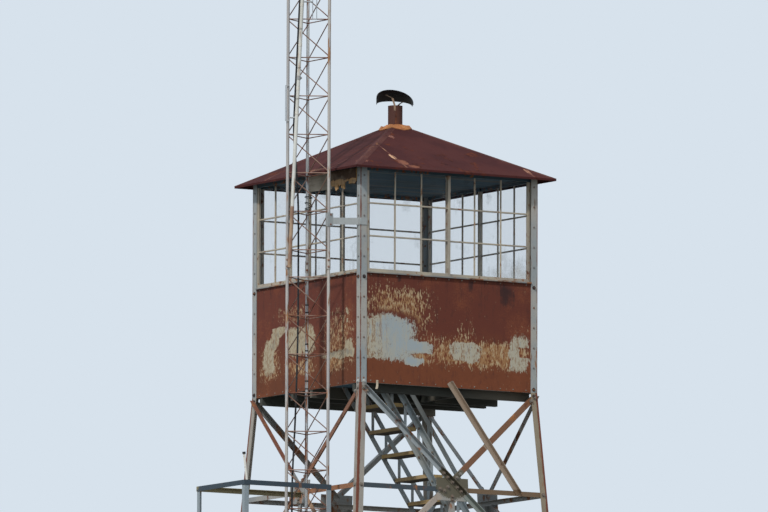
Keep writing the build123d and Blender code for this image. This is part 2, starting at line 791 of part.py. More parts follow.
def vent_collar():
    """The flashing round the ventilator pipe, seated on the roof sheets."""
    seat = collar_top() - COLLAR_RISE
    body = frustum(COLLAR_HALF, seat, COLLAR_RISE / (COLLAR_HALF - COLLAR_TOP_HALF), COLLAR_RISE)
    beyond = COLLAR_HALF + BRACE_FLANGE
    roof = frustum(beyond, seat - BRACE_FLANGE * ROOF_PITCH, ROOF_PITCH, (beyond - 1) * ROOF_PITCH)
    bore = Pos(0, 0, collar_top()) * Cylinder(PIPE_DIAMETER / 2 + SEAT_GAP, 4 * BRACE_FLANGE)
    return body - roof - bore


def vent_pipe():
    """The ventilator pipe through the peak of the roof."""
    height = PIPE_ABOVE_COLLAR + PIPE_BELOW_COLLAR
    wall = Cylinder(PIPE_DIAMETER / 2, height) - Cylinder(PIPE_DIAMETER / 2 - PIPE_WALL, 2 * height)
    return Pos(0, 0, pipe_top() - height / 2) * wall


def vent_cap():
    """The arched rain cap and the bent strap that holds it over the pipe."""
    half = CAP_WIDTH / 2
    outer = ThreePointArc((-half, 0), (0, CAP_RISE), (half, 0))
    inner = ThreePointArc((half - CAP_SHEET, 0), (0, CAP_RISE - CAP_SHEET), (-half + CAP_SHEET, 0))
    left = Line((-half + CAP_SHEET, 0), (-half, 0))
    right = Line((half, 0), (half - CAP_SHEET, 0))
    hood = extrude(Plane.XZ * make_face([outer, right, inner, left]), amount=CAP_LENGTH / 2, both=True)
    base = pipe_top() + CAP_ABOVE_PIPE
    hood = Pos(0, 0, base) * Rotation(0, CAP_TILT, 0) * hood
    crown = base + CAP_RISE - CAP_SHEET / 2
    bore = PIPE_DIAMETER / 2 - PIPE_WALL
    outside = sqrt(bore ** 2 - (STRAP_WIDTH / 2) ** 2) - SEAT_GAP
    shoulder = crown - CAP_RISE / 4
    foot = pipe_top() - STRAP_IN_PIPE
    strap = []
    for sign in (-1, 1):
        outline = [(outside - STRAP_THICK, foot), (outside, foot), (outside, shoulder), (0, crown)]
        outline += [(0, crown - STRAP_THICK), (outside - STRAP_THICK, shoulder - STRAP_THICK)]
        points = [(sign * x, -STRAP_WIDTH / 2, z) for x, z in outline]
        strap.append(prism(points, STRAP_WIDTH, Vector(0, 1, 0)))
    return Rotation(0, 0, CAP_TURN) * (hood + strap[0] + strap[1])


# Mast

def mast_corners():
    """Plan positions of the mast's legs: outer, right and middle."""
    depth = MAST_SIDE * sqrt(3) / 2
    outer = Vector(MAST_FACE_X - depth, MAST_CENTRE_Y, 0)
    right = Vector(MAST_FACE_X, MAST_CENTRE_Y - MAST_SIDE / 2, 0)
    middle = Vector(MAST_FACE_X, MAST_CENTRE_Y + MAST_SIDE / 2, 0)
    return [outer, right, middle]


def mast_tubes(foot, length, diameter):
    """Three upright tubes or bores at the mast's corners."""
    starts = [corner + UP * foot for corner in mast_corners()]
    return [round_bar(start, start + UP * length, diameter, MAST_TUBE_SIDES) for start in starts]


def mast_rods():
    """A section's level rods and the diagonal of each step and face, cut to seat on the tubes."""
    corners = mast_corners()
    bores = mast_tubes(0, MAST_SECTION, MAST_LEG_DIAMETER + 2 * SEAT_GAP)
    pitch = (MAST_SECTION - 2 * MAST_END) / MAST_STEPS
    levels = [MAST_END + step * pitch for step in range(MAST_STEPS + 1)]
    rods = []
    for index, corner in enumerate(corners):
        after = (index + 1) % 3
        runs = [(level, level) for level in levels]
        runs += [(high - MAST_WELD_STEP, low + MAST_WELD_STEP) for low, high in zip(levels, levels[1:])]
        for start, end in runs:
            rod = round_bar(corner + UP * start, corners[after] + UP * end, MAST_ROD_DIAMETER, MAST_ROD_SIDES)
            rods.append(rod - bores[index] - bores[after])
    return rods


def mast():
    """The mast's sections, one on top of the other."""
    section = solids_of(mast_tubes(0, MAST_SECTION - SEAT_GAP, MAST_LEG_DIAMETER), mast_rods())
    lows = [CAB_BASE + MAST_FIRST_JOINT + index * MAST_SECTION for index in range(MAST_SECTIONS)]
    return [Pos(0, 0, low + SEAT_GAP) * piece for low in lows for piece in section]


def deck_top():
    """Top of the balcony deck."""
    return joint_level(1) + FLOOR_ABOVE_JOINT


def mast_base():
    """The plate on the balcony with three stub tubes under the mast."""
    corners = mast_corners()
    centre = (corners[0] + corners[1] + corners[2]) / 3
    low = deck_top() + SEAT_GAP
    outline = []
    for toward in (0, 120, 240):
        for corner in (-MAST_PLATE_CORNER, MAST_PLATE_CORNER):
            angle = radians(toward + corner)
            outline.append(centre + Vector(-cos(angle), sin(angle), 0) * MAST_PLATE_REACH + UP * low)
    foot = low + MAST_PLATE_THICK + SEAT_GAP
    stubs = mast_tubes(foot, CAB_BASE + MAST_FIRST_JOINT - foot, MAST_LEG_DIAMETER)
    return [prism(outline, MAST_PLATE_THICK, UP)] + stubs


def clasp(body, foot, height, wall):
    """Ends a plate in a ring round one of the mast's tubes, from its foot up."""
    top = foot + UP * height
    ring = round_bar(foot, top, MAST_LEG_DIAMETER + 2 * wall, MAST_TUBE_SIDES)
    bore = round_bar(foot - UP, top + UP, MAST_LEG_DIAMETER + 4 * SEAT_GAP, MAST_TUBE_SIDES)
    return body + ring - bore


def mast_bracket():
    """The bracket from a ring round the mast's near tube to a clip round the corner post."""
    tube = mast_corners()[1]
    low = CAB_BASE + BRACKET_LEVEL - BRACKET_HEIGHT / 2
    heel = -CAB_HALF - SEAT_GAP
    back = heel - BRACKET_THICK
    end = heel + LEG_FLANGE
    clip = [(heel, heel), (end, heel), (end, back), (back, back), (back, end), (heel, end)]
    body = prism([(x, y, low) for x, y in clip], BRACKET_HEIGHT, UP)
    start = Vector(heel - BRACKET_THICK / 2, heel + LEG_FLANGE / 2, low)
    target = Vector(tube.X, tube.Y, low)
    side = UP.cross((target - start).normalized()) * (BRACKET_THICK / 2)
    body += prism([start + side, target + side, target - side, start - side], BRACKET_HEIGHT, UP)
    return clasp(body, target, BRACKET_HEIGHT, BRACKET_THICK)


# Antenna pole, loops and cable

def near_face():
    """Corner, run and outward direction of the mast's south-west face."""
    outer, right, _ = mast_corners()
    run = (right - outer).normalized()
    return outer, run, Vector(run.Y, -run.X, 0)


def near_face_point(along, out, level):
    """A point by the mast's south-west face, at a height above the cab's foot."""
    outer, run, outward = near_face()
    return outer + run * along + outward * out + UP * (CAB_BASE + level)


def pole_along(level):
    """How far the leaning pole stands from the outer leg, along the face."""
    return POLE_FROM_LEG + POLE_LEAN * (level - POLE_FOOT)


def pole_point(level):
    """Centre of the leaning pole at a height above the cab's foot."""
    return near_face_point(pole_along(level), POLE_OFF_FACE, level)


def antenna_pole():
    """The leaning pole."""
    return round_bar(pole_point(POLE_FOOT), pole_point(MAST_TOP + POLE_ABOVE_MAST), POLE_DIAMETER, POLE_SIDES)


def antenna_loop(level, reach, arm_drop, sign):
    """A folded loop on its arm, to one side of the pole."""
    run = near_face()[1] * sign
    inner = pole_point(level) + run * reach
    outer = inner + run * (LOOP_WIDTH - LOOP_TUBE)
    half = UP * ((LOOP_HEIGHT - LOOP_TUBE) / 2)
    loop = round_bar(inner - half, inner + half, LOOP_TUBE, 6)
    loop += round_bar(outer - half, outer + half, LOOP_TUBE, 6)
    loop += round_bar(inner - half, outer - half, LOOP_TUBE, 6)
    loop += round_bar(inner + half, outer + half, LOOP_TUBE, 6)
    arm_level = level - arm_drop
    arm_start = pole_point(arm_level) + run * (POLE_DIAMETER / 2 + SEAT_GAP)
    arm_end = Vector(inner.X, inner.Y, arm_start.Z)
    return loop + round_bar(arm_start, arm_end, LOOP_ARM, 6)


def pole_clamp(level):
    """The plate that ties the pole to the mast's outer tube."""
    face = MAST_ROD_DIAMETER / 2 + SEAT_GAP
    front = POLE_OFF_FACE - POLE_DIAMETER / 2 - SEAT_GAP
    low = level - CLAMP_HEIGHT / 2
    end = pole_along(level) + CLAMP_BEYOND_POLE
    plan = [(0, face), (end, face), (end, front), (0, front)]
    plate = prism([near_face_point(along, out, low) for along, out in plan], CLAMP_HEIGHT, UP)
    return clasp(plate, near_face_point(0, 0, low), CLAMP_HEIGHT, CLAMP_WALL)


def cable_route():
    """Points of the cable: down beside the pole, into the mast, and down to its base."""
    beside = near_face()[1] * -(POLE_DIAMETER / 2 + CABLE_DIAMETER / 2 + SEAT_GAP)
    foot = FLOOR_ABOVE_JOINT - BAY + MAST_PLATE_THICK + 2 * SEAT_GAP
    inside = [(60, -60, 2560), (115, -100, 1900), (116, -104, 500), (90, -72, -400), (58, -36, -1000)]
    points = [pole_point(MAST_TOP - CABLE_BELOW_MAST_TOP) + beside, pole_point(CABLE_LEAVES_POLE) + beside]
    points += [near_face_point(*place) for place in inside]
    points.append(near_face_point(58, -36, foot))
    return points


def feed_cable():
    """The cable as straight runs joined by wide bends."""
    points = cable_route()
    radii = []
    for before, corner, after in zip(points, points[1:], points[2:]):
        runs = (corner - before, after - corner)
        turn = radians(runs[0].get_angle(runs[1]))
        radii.append(0.45 * min(runs[0].length, runs[1].length) / tan(turn / 2))
    path = FilletPolyline(*points, radius=radii)
    section = Plane(origin=points[0], z_dir=points[1] - points[0]) * RegularPolygon(CABLE_DIAMETER / 2, 6)
    return sweep(section, path=path)


# Balcony

def west_face_x(level, out):
    """X of the west face at a height, out millimetres proud of the legs' face."""
    return -half_at(level) - out / SLOPE_UNIT


def bearer_top():
    """Top of the bearers under the balcony deck."""
    return deck_top() - DECK_THICK - SEAT_GAP


def bearer_depth():
    """Depth of the bearers, down to the heel of the west girt that they rest on."""
    girt_heel = face_point(0, joint_girt_level(1), INNER_LAYER) + FACE_UP * (BRACE_FLANGE / 2)
    return bearer_top() - girt_heel.Z - SEAT_GAP


def balcony_bearer(row):
    """A bearer from the balcony's west edge in over the west girt."""
    inner = west_face_x(joint_girt_level(1), INNER_LAYER - BRACE_FLANGE)
    outer = BALCONY_WEST + RAIL_THICK + SEAT_GAP
    toward = -1 if row == BEARER_ROWS[-1] else 1
    ends = ((outer, row, bearer_top()), (inner, row, bearer_top()))
    return angle_bar(*ends, UP * -1, Vector(0, toward, 0), bearer_depth(), BEARER_FLANGE, RAIL_THICK)


def balcony_knee(row):
    """A knee brace from under a bearer down to the west girt at the crossing below."""
    foot_level = mid_girt_level(1)
    foot_x = west_face_x(foot_level - BRACE_FLANGE / 2, INNER_LAYER) - SEAT_GAP
    head_z = bearer_top() - bearer_depth() - SEAT_GAP
    head = Vector(BALCONY_WEST + KNEE_HEAD_FROM_WEST, row, head_z)
    foot = Vector(foot_x, row, foot_level)
    axis = (foot - head).normalized()
    across = Vector(0, 1, 0).cross(axis).normalized()
    heel = across * (KNEE_FLANGE / 2)
    overrun = axis * (2 * KNEE_FLANGE)
    ends = (head - overrun + heel, foot + overrun + heel)
    bar = angle_bar(*ends, across * -1, Vector(0, 1, 0), KNEE_FLANGE, KNEE_FLANGE, KNEE_THICK)
    reach = (row - KNEE_FLANGE, row + 2 * KNEE_FLANGE)
    return bar & block((BALCONY_WEST, foot_x), reach, (foot_level - BAY / 4, head_z))


def balcony_edge_beam():
    """The flat along the balcony's west edge, across the bearers' ends."""
    low = bearer_top() - bearer_depth()
    x = BALCONY_WEST
    width = (BALCONY_SOUTH + RAIL_FLANGE + SEAT_GAP, BALCONY_NORTH - RAIL_FLANGE - SEAT_GAP)
    return block((x, x + RAIL_THICK), width, (low, deck_top()))


def balcony_deck():
    """The balcony's deck, from inside the rail posts to the tower's legs."""
    east = west_face_x(deck_top() - DECK_THICK, SEAT_GAP)
    edge = RAIL_THICK + SEAT_GAP
    width = (BALCONY_SOUTH + edge, BALCONY_NORTH - edge)
    return block((BALCONY_WEST + edge, east), width, (deck_top() - DECK_THICK, deck_top()))


def rail_post(x, y, flat_x, flat_y):
    """An angle post from below the deck up to the top rail."""
    low = bearer_top() - bearer_depth()
    high = deck_top() + RAIL_ABOVE_DECK - RAIL_THICK - SEAT_GAP
    directions = (Vector(flat_x, 0, 0), Vector(0, flat_y, 0))
    return angle_bar((x, y, low), (x, y, high), *directions, RAIL_FLANGE, RAIL_FLANGE, RAIL_THICK)


def third_post_notch():
    """The room that the deck takes from the inner flange of the third post."""
    edge = BALCONY_SOUTH + RAIL_THICK
    inner = (SOUTH_RAIL_END - 2 * RAIL_FLANGE, SOUTH_RAIL_END + RAIL_FLANGE)
    low = bearer_top() - bearer_depth() - 1
    return block(inner, (edge, edge + 2 * RAIL_FLANGE), (low, deck_top() + SEAT_GAP))


def balcony_railing():
    """Three posts and the top rails of the balcony."""
    top = deck_top() + RAIL_ABOVE_DECK
    lap = RAIL_THICK + SEAT_GAP
    west = BALCONY_WEST - lap
    south = BALCONY_SOUTH - lap
    north = BALCONY_NORTH + lap
    tower = west_face_x(top - 2 * RAIL_THICK, BRACE_FLANGE + 3 * SEAT_GAP)
    size = (RAIL_FLANGE, RAIL_FLANGE, RAIL_THICK)
    posts = [rail_post(BALCONY_WEST, BALCONY_SOUTH, 1, 1), rail_post(BALCONY_WEST, BALCONY_NORTH, 1, -1)]
    posts.append(rail_post(SOUTH_RAIL_END, BALCONY_SOUTH, -1, 1) - third_post_notch())
    south_rail = angle_bar((west, south, top), (SOUTH_RAIL_END, south, top), UP * -1, Vector(0, 1, 0), *size)
    north_rail = angle_bar((west, north, top), (tower, north, top), UP * -1, Vector(0, -1, 0), *size)
    west_rail = angle_bar((west, south + lap, top), (west, north - lap, top), UP * -1, Vector(1, 0, 0), *size)
    for y in (south, north):
        width = (y - RAIL_FLANGE - SEAT_GAP, y + RAIL_FLANGE + SEAT_GAP)
        west_rail -= block((west - 1, west + 2 * RAIL_FLANGE), width, (top - lap, top + 1))
    return posts + [south_rail, north_rail, west_rail]


def railing_pipe():
    """The short leaning pipe and its knob on the near corner of the top rail."""
    lean = Vector(-STUB_LEAN, STUB_LEAN / 2, 1)
    rise = STUB_DIAMETER / 2 * lean.X * -1.2
    rail_top = deck_top() + RAIL_ABOVE_DECK
    x, y = STUB_FROM_CORNER
    foot = Vector(BALCONY_WEST + x, BALCONY_SOUTH + y, rail_top + SEAT_GAP + rise)
    head = foot + lean * STUB_HEIGHT
    pipe = round_bar(foot, head, STUB_DIAMETER, 12)
    step = lean.normalized()
    knob = round_bar(head + step * SEAT_GAP, head + step * (SEAT_GAP + KNOB_HEIGHT), KNOB_DIAMETER, 12)
    return [pipe, knob]


os.makedirs("parts", exist_ok=True)
bracing = face_bracing()
landings = range(1, BAYS)

save("base_plates", [turned(base_plate(), side) for side in SIDES])
save("leg_south_west", [turned(piece, "south") for piece in leg()])
save("leg_north_west", [turned(piece, "west") for piece in leg()])
save("leg_north_east", [turned(piece, "north") for piece in leg()])
save("leg_south_east", [turned(piece, "east") for piece in leg()])
save("leg_splices", leg_splices())
save("bracing_south", bracing, cab_brace())
for wall in ("west", "north", "east"):
    save("bracing_" + wall, [turned(piece, wall) for piece in bracing])
save("stair_stringers", placed_flights(flight_stringers))
save("stair_handrails", placed_flights(flight_handrail))
save("stair_treads", placed_flights(flight_treads))
save("stair_landings", [landing_deck(joint) for joint in landings])
save("landing_beams", [landing_joists(joint) for joint in landings])
save("corner_posts", [turned(corner_post(), side) for side in SIDES])
save("cab_floor", cab_floor())
save("floor_frame", floor_frame())
for wall in SIDES:
    save("panel_" + wall, turned(panel(), wall))
    save("windows_" + wall, [turned(frame, wall) for frame in sash_frames()])
save("panel_frames", [panel_frame(side) for side in SIDES])
save("window_sills", [turned(window_sill(), side) for side in SIDES])
save("window_glass", [turned(pane, side) for side in SIDES for pane in sash_glass()])
save("head_plates", [head_plate(side) for side in SIDES])
save("ceiling", ceiling())
save("roof_sheets", [turned(roof_sheet(), side) for side in SIDES])
save("hip_caps", [turned(hip_cap(), side) for side in SIDES])
save("vent_collar", vent_collar())
save("vent_pipe", vent_pipe())
save("vent_cap", vent_cap())
save("mast", mast(), mast_base())
save("mast_brackets", mast_bracket(), [pole_clamp(level) for level in CLAMP_LEVELS])
save("antenna_pole", antenna_pole())
left_loop = antenna_loop(LEFT_LOOP_LEVEL, LEFT_LOOP_REACH, LEFT_ARM_DROP, -1)
save("antenna_loops", left_loop, antenna_loop(RIGHT_LOOP_LEVEL, RIGHT_LOOP_REACH, 0.0, 1))
save("feed_cable", feed_cable())
bearers = [balcony_bearer(row) for row in BEARER_ROWS]
save("balcony_frame", bearers, balcony_edge_beam(), [balcony_knee(row) for row in KNEE_ROWS])
save("balcony_deck", balcony_deck())
save("balcony_railing", balcony_railing())
save("railing_pipe", railing_pipe())
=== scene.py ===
import logging
import math
import random
from collections.abc import Iterable, Mapping, Sequence
from dataclasses import dataclass
from enum import Enum
from typing import Any

import bmesh
import bpy
from mathutils import Matrix, Vector


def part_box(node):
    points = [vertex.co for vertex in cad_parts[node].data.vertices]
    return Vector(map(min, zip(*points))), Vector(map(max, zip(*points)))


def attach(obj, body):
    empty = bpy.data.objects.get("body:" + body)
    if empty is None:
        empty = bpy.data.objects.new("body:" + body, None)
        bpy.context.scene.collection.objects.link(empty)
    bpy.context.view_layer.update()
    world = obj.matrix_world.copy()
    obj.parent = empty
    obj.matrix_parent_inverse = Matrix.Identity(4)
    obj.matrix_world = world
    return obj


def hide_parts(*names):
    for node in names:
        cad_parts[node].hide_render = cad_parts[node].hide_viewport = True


# The dress of a steel fire lookout tower: bolts, window bars, boards, a round-tubed mast and
# the finishes of every piece. Metres, +Z up, the ground at Z = 0, south is -Y and west is -X.

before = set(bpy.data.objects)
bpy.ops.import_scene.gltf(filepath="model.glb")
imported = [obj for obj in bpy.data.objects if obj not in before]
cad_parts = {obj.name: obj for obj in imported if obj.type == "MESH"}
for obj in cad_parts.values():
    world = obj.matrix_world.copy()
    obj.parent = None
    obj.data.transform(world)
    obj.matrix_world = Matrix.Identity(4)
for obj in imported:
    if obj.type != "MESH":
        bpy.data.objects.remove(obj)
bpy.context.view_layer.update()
BODY = "root"
UP = Vector((0.0, 0.0, 1.0))
SHARP_EDGE = math.radians(38.0)
Colour = tuple[float, float, float, float]
Number = "Value | float"
Profile = tuple[tuple[float, float], ...]
log = logging.getLogger("tower")


# Shader kit

def linear(code: str) -> Colour:
    """A web colour as linear light.

    Args:
        code: The colour, with two digits each for red, green and blue.

    Returns:
        Red, green, blue and full alpha.
    """
    values = [int(code[start:start + 2], 16) / 255 for start in (1, 3, 5)]
    red, green, blue = (v / 12.92 if v <= 0.04045 else ((v + 0.055) / 1.055) ** 2.4 for v in values)
    return red, green, blue, 1.0


class Value:
    """A number on a node's socket, which Python's operators work on."""

    def __init__(self, graph: "Graph", socket: bpy.types.NodeSocket) -> None:
        """Wraps a socket of a graph."""
        self.graph = graph
        self.socket = socket

    def _math(self, operation: str, first: Number, second: Number = 0.0) -> "Value":
        """Adds a Math node and wraps its result."""
        node = self.graph.node("ShaderNodeMath", {"operation": operation}, {0: first, 1: second})
        return Value(self.graph, node.outputs[0])

    def __add__(self, other: Number) -> "Value":
        """This value plus another."""
        return self._math("ADD", self, other)

    def __radd__(self, other: Number) -> "Value":
        """Another value plus this one."""
        return self._math("ADD", other, self)

    def __sub__(self, other: Number) -> "Value":
        """This value less another."""
        return self._math("SUBTRACT", self, other)

    def __rsub__(self, other: Number) -> "Value":
        """Another value less this one."""
        return self._math("SUBTRACT", other, self)

    def __mul__(self, other: Number) -> "Value":
        """This value times another."""
        return self._math("MULTIPLY", self, other)

    def __rmul__(self, other: Number) -> "Value":
        """Another value times this one."""
        return self._math("MULTIPLY", other, self)

    def __truediv__(self, other: Number) -> "Value":
        """This value over another."""
        return self._math("DIVIDE", self, other)

    def __pow__(self, other: Number) -> "Value":
        """This value to a power."""
        return self._math("POWER", self, other)

    def __abs__(self) -> "Value":
        """The value without its sign."""
        return self._math("ABSOLUTE", self)

    def __mod__(self, other: Number) -> "Value":
        """What is left of this value after whole steps."""
        return self._math("FLOORED_MODULO", self, other)

    def exp(self) -> "Value":
        """The exponential of this value."""
        return self._math("EXPONENT", self)

    def least(self, other: Number) -> "Value":
        """The smaller of two values."""
        return self._math("MINIMUM", self, other)

    def most(self, other: Number) -> "Value":
        """The larger of two values."""
        return self._math("MAXIMUM", self, other)

    def step(self, low: float, high: float) -> "Value":
        """A soft step from 0 at the low end to 1 at the high end.

        Args:
            low: Where the step starts, which may be above where it ends.
            high: Where the step ends.

        Returns:
            The stepped value.
        """
        if low > high:
            return 1.0 - self.step(high, low)
        settings = {"interpolation_type": "SMOOTHSTEP"}
        node = self.graph.node("ShaderNodeMapRange", settings, {0: self, 1: low, 2: high, 3: 0.0, 4: 1.0})
        return Value(self.graph, node.outputs[0])


class Graph:
    """Builds the nodes of one material or world."""

    def __init__(self, tree: bpy.types.NodeTree) -> None:
        """Empties a node tree and gives it object coordinates."""
        self.tree = tree
        tree.nodes.clear()
        self.place = self.node("ShaderNodeTexCoord", {}, {}).outputs["Object"]

    def node(self, kind: str, settings: Mapping[str, Any], inputs: Mapping[int | str, Any]) -> bpy.types.Node:
        """Adds one node.

        Args:
            kind: The node's type.
            settings: Properties of the node, set first.
            inputs: What each socket gets: a Value, a socket or a plain value.

        Returns:
            The node.
        """
        made = self.tree.nodes.new(kind)
        for name, setting in settings.items():
            setattr(made, name, setting)
        for key, given in inputs.items():
            source = given.socket if isinstance(given, Value) else given
            if isinstance(source, bpy.types.NodeSocket):
                self.tree.links.new(source, made.inputs[key])
            else:
                made.inputs[key].default_value = source
        return made

    def axes(self) -> tuple[Value, Value, Value]:
        """The three object coordinates."""
        parts = self.node("ShaderNodeSeparateXYZ", {}, {0: self.place}).outputs
        return Value(self, parts[0]), Value(self, parts[1]), Value(self, parts[2])

    def facing_up(self) -> Value:
        """How far the surface faces up, from -1 to 1."""
        normal = self.node("ShaderNodeNewGeometry", {}, {}).outputs["Normal"]
        return Value(self, self.node("ShaderNodeSeparateXYZ", {}, {0: normal}).outputs[2])

    def vector(self, operation: str, first: Any, second: Any) -> bpy.types.NodeSocket:
        """The vector that a Vector Math node gives."""
        return self.node("ShaderNodeVectorMath", {"operation": operation}, {0: first, 1: second}).outputs[0]

    def noise(self, stretch: Sequence[float], detail: float, shift: float) -> Value:
        """Noise with a frequency of its own along each axis.

        Args:
            stretch: Cycles per metre along X, Y and Z.
            detail: Octaves of finer noise.
            shift: Moves the pattern, so that two layers differ.

        Returns:
            The noise, about 0.5 in the middle.
        """
        scaled = self.vector("MULTIPLY", self.place, tuple(stretch))
        moved = self.vector("ADD", scaled, (shift, shift * 0.7, shift * 1.3))
        inputs = {"Vector": moved, "Scale": 1.0, "Detail": detail, "Roughness": 0.6}
        return Value(self, self.node("ShaderNodeTexNoise", {}, inputs).outputs[0])

    def blend(self, first: Any, second: Any, share: Number) -> bpy.types.NodeSocket:
        """The first colour mixed toward the second by a share; either may be a web colour."""
        first, second = (linear(colour) if isinstance(colour, str) else colour for colour in (first, second))
        return self.node("ShaderNodeMix", {"data_type": "RGBA"}, {0: share, 6: first, 7: second}).outputs[2]

    def surface(self, name: str, inputs: Mapping[str, Any], height: Value, bump: float) -> None:
        """Ends a material in a Principled surface with a bump.

        Args:
            name: What the surface is called in the log.
            inputs: The shader's sockets.
            height: The height that the bump follows.
            bump: The bump's depth in metres.
        """
        relief = {"Strength": 1.0, "Distance": bump, "Height": height}
        normal = self.node("ShaderNodeBump", {}, relief).outputs[0]
        shader = self.node("ShaderNodeBsdfPrincipled", {}, {**inputs, "Normal": normal})
        self.node("ShaderNodeOutputMaterial", {}, {0: shader.outputs[0]})
        log.debug("finish %s", name)


def fresh(name: str) -> tuple[bpy.types.Material, Graph]:
    """Starts a material.

    Args:
        name: The material's name.

    Returns:
        The material and the graph that builds it.
    """
    material = bpy.data.materials.new(name)
    material.use_nodes = True
    return material, Graph(material.node_tree)


# The tower's plan

class Side(Enum):
    """A side of the tower, with its turn from the south side in degrees."""

    SOUTH = 0.0
    WEST = -90.0
    NORTH = 180.0
    EAST = 90.0

    @property
    def turn(self) -> Matrix:
        """The turn from the south side to this one."""
        return Matrix.Rotation(math.radians(self.value), 3, "Z")

    @property
    def out(self) -> Vector:
        """The way the cab's wall looks on this side."""
        return self.turn @ Vector((0.0, -1.0, 0.0))

    @property
    def label(self) -> str:
        """The side's name in lower case."""
        return self.name.lower()


@dataclass(frozen=True)
class Plan:
    """The tower's leading sizes, as the solids have them."""

    half: float = 1.0668
    batter: float = 0.070
    bay: float = 2.1336
    bays: int = 8
    floor_above_joint: float = 0.075
    gap: float = 0.0002
    leg_thick: float = 0.008
    brace: float = 0.050
    brace_thick: float = 0.005
    brace_top: float = 0.018
    below_joint: float = 0.072
    above_joint: float = 0.058
    brace_foot: float = 0.190
    deck: float = 0.038
    girt_in: float = 0.0154

    @property
    def base(self) -> float:
        """Foot of the cab."""
        return self.bays * self.bay - self.floor_above_joint

    @property
    def floor(self) -> float:
        """Top of the cab's floor."""
        return self.bays * self.bay

    @property
    def slope(self) -> float:
        """Length along a leg's face for each metre of height."""
        return math.hypot(1.0, self.batter)

    def joint(self, index: int) -> float:
        """Height of a leg joint, counted down from the cab."""
        return self.base - index * self.bay

    def half_at(self, level: float) -> float:
        """Half the tower's width at a height."""
        return self.half + self.batter * max(self.base - level, 0.0)

    def brace_levels(self, bay: int) -> tuple[float, float]:
        """Working levels of a bay's diagonals.

        Args:
            bay: The bay, counted down from the cab.

        Returns:
            The upper and the lower level.
        """
        top = self.joint(bay) - (self.brace_top if bay == 0 else self.below_joint)
        foot = self.brace_foot if bay == self.bays - 1 else self.joint(bay + 1) + self.above_joint
        return top, foot

    def crossing(self, bay: int) -> float:
        """Height at which a bay's diagonals cross."""
        top, foot = self.brace_levels(bay)
        return top - (top - foot) * self.half_at(top) / (self.half_at(top) + self.half_at(foot))

    def girt(self, joint: int) -> float:
        """Middle of a joint girt."""
        seat = self.joint(joint) + self.floor_above_joint - self.deck - self.brace - 2 * self.gap
        return seat - self.brace / 2 * self.slope + self.batter * self.girt_in

    def on_face(self, side: Side, across: float, level: float, out: float = 0.0) -> Vector:
        """A point over a side's battered face."""
        rise = out * self.batter / self.slope
        return side.turn @ Vector((across, -self.half_at(level) - out / self.slope, level + rise))

    def outward(self, side: Side) -> Vector:
        """The way a side's battered face looks."""
        return side.turn @ Vector((0.0, -1.0, self.batter)).normalized()


PLAN = Plan()


# Mesh maker

def square_to(axis: Vector) -> tuple[Vector, Vector]:
    """Two directions square to an axis and to each other.

    Args:
        axis: A direction of length 1.

    Returns:
        The two directions, of length 1.
    """
    other = Vector((1.0, 0.0, 0.0)) if abs(axis.x) < 0.8 else Vector((0.0, 1.0, 0.0))
    first = axis.cross(other).normalized()
    return first, axis.cross(first).normalized()


def circle(centre: Vector, axis: Vector, radius: float, sides: int) -> list[Vector]:
    """Points round a circle.

    Args:
        centre: The circle's middle.
        axis: The way the circle faces, of length 1.
        radius: Its radius.
        sides: How many points.

    Returns:
        The points in order.
    """
    first, second = square_to(axis)
    points = []
    for index in range(sides):
        angle = 2 * math.pi * index / sides
        points.append(centre + first * (radius * math.cos(angle)) + second * (radius * math.sin(angle)))
    return points


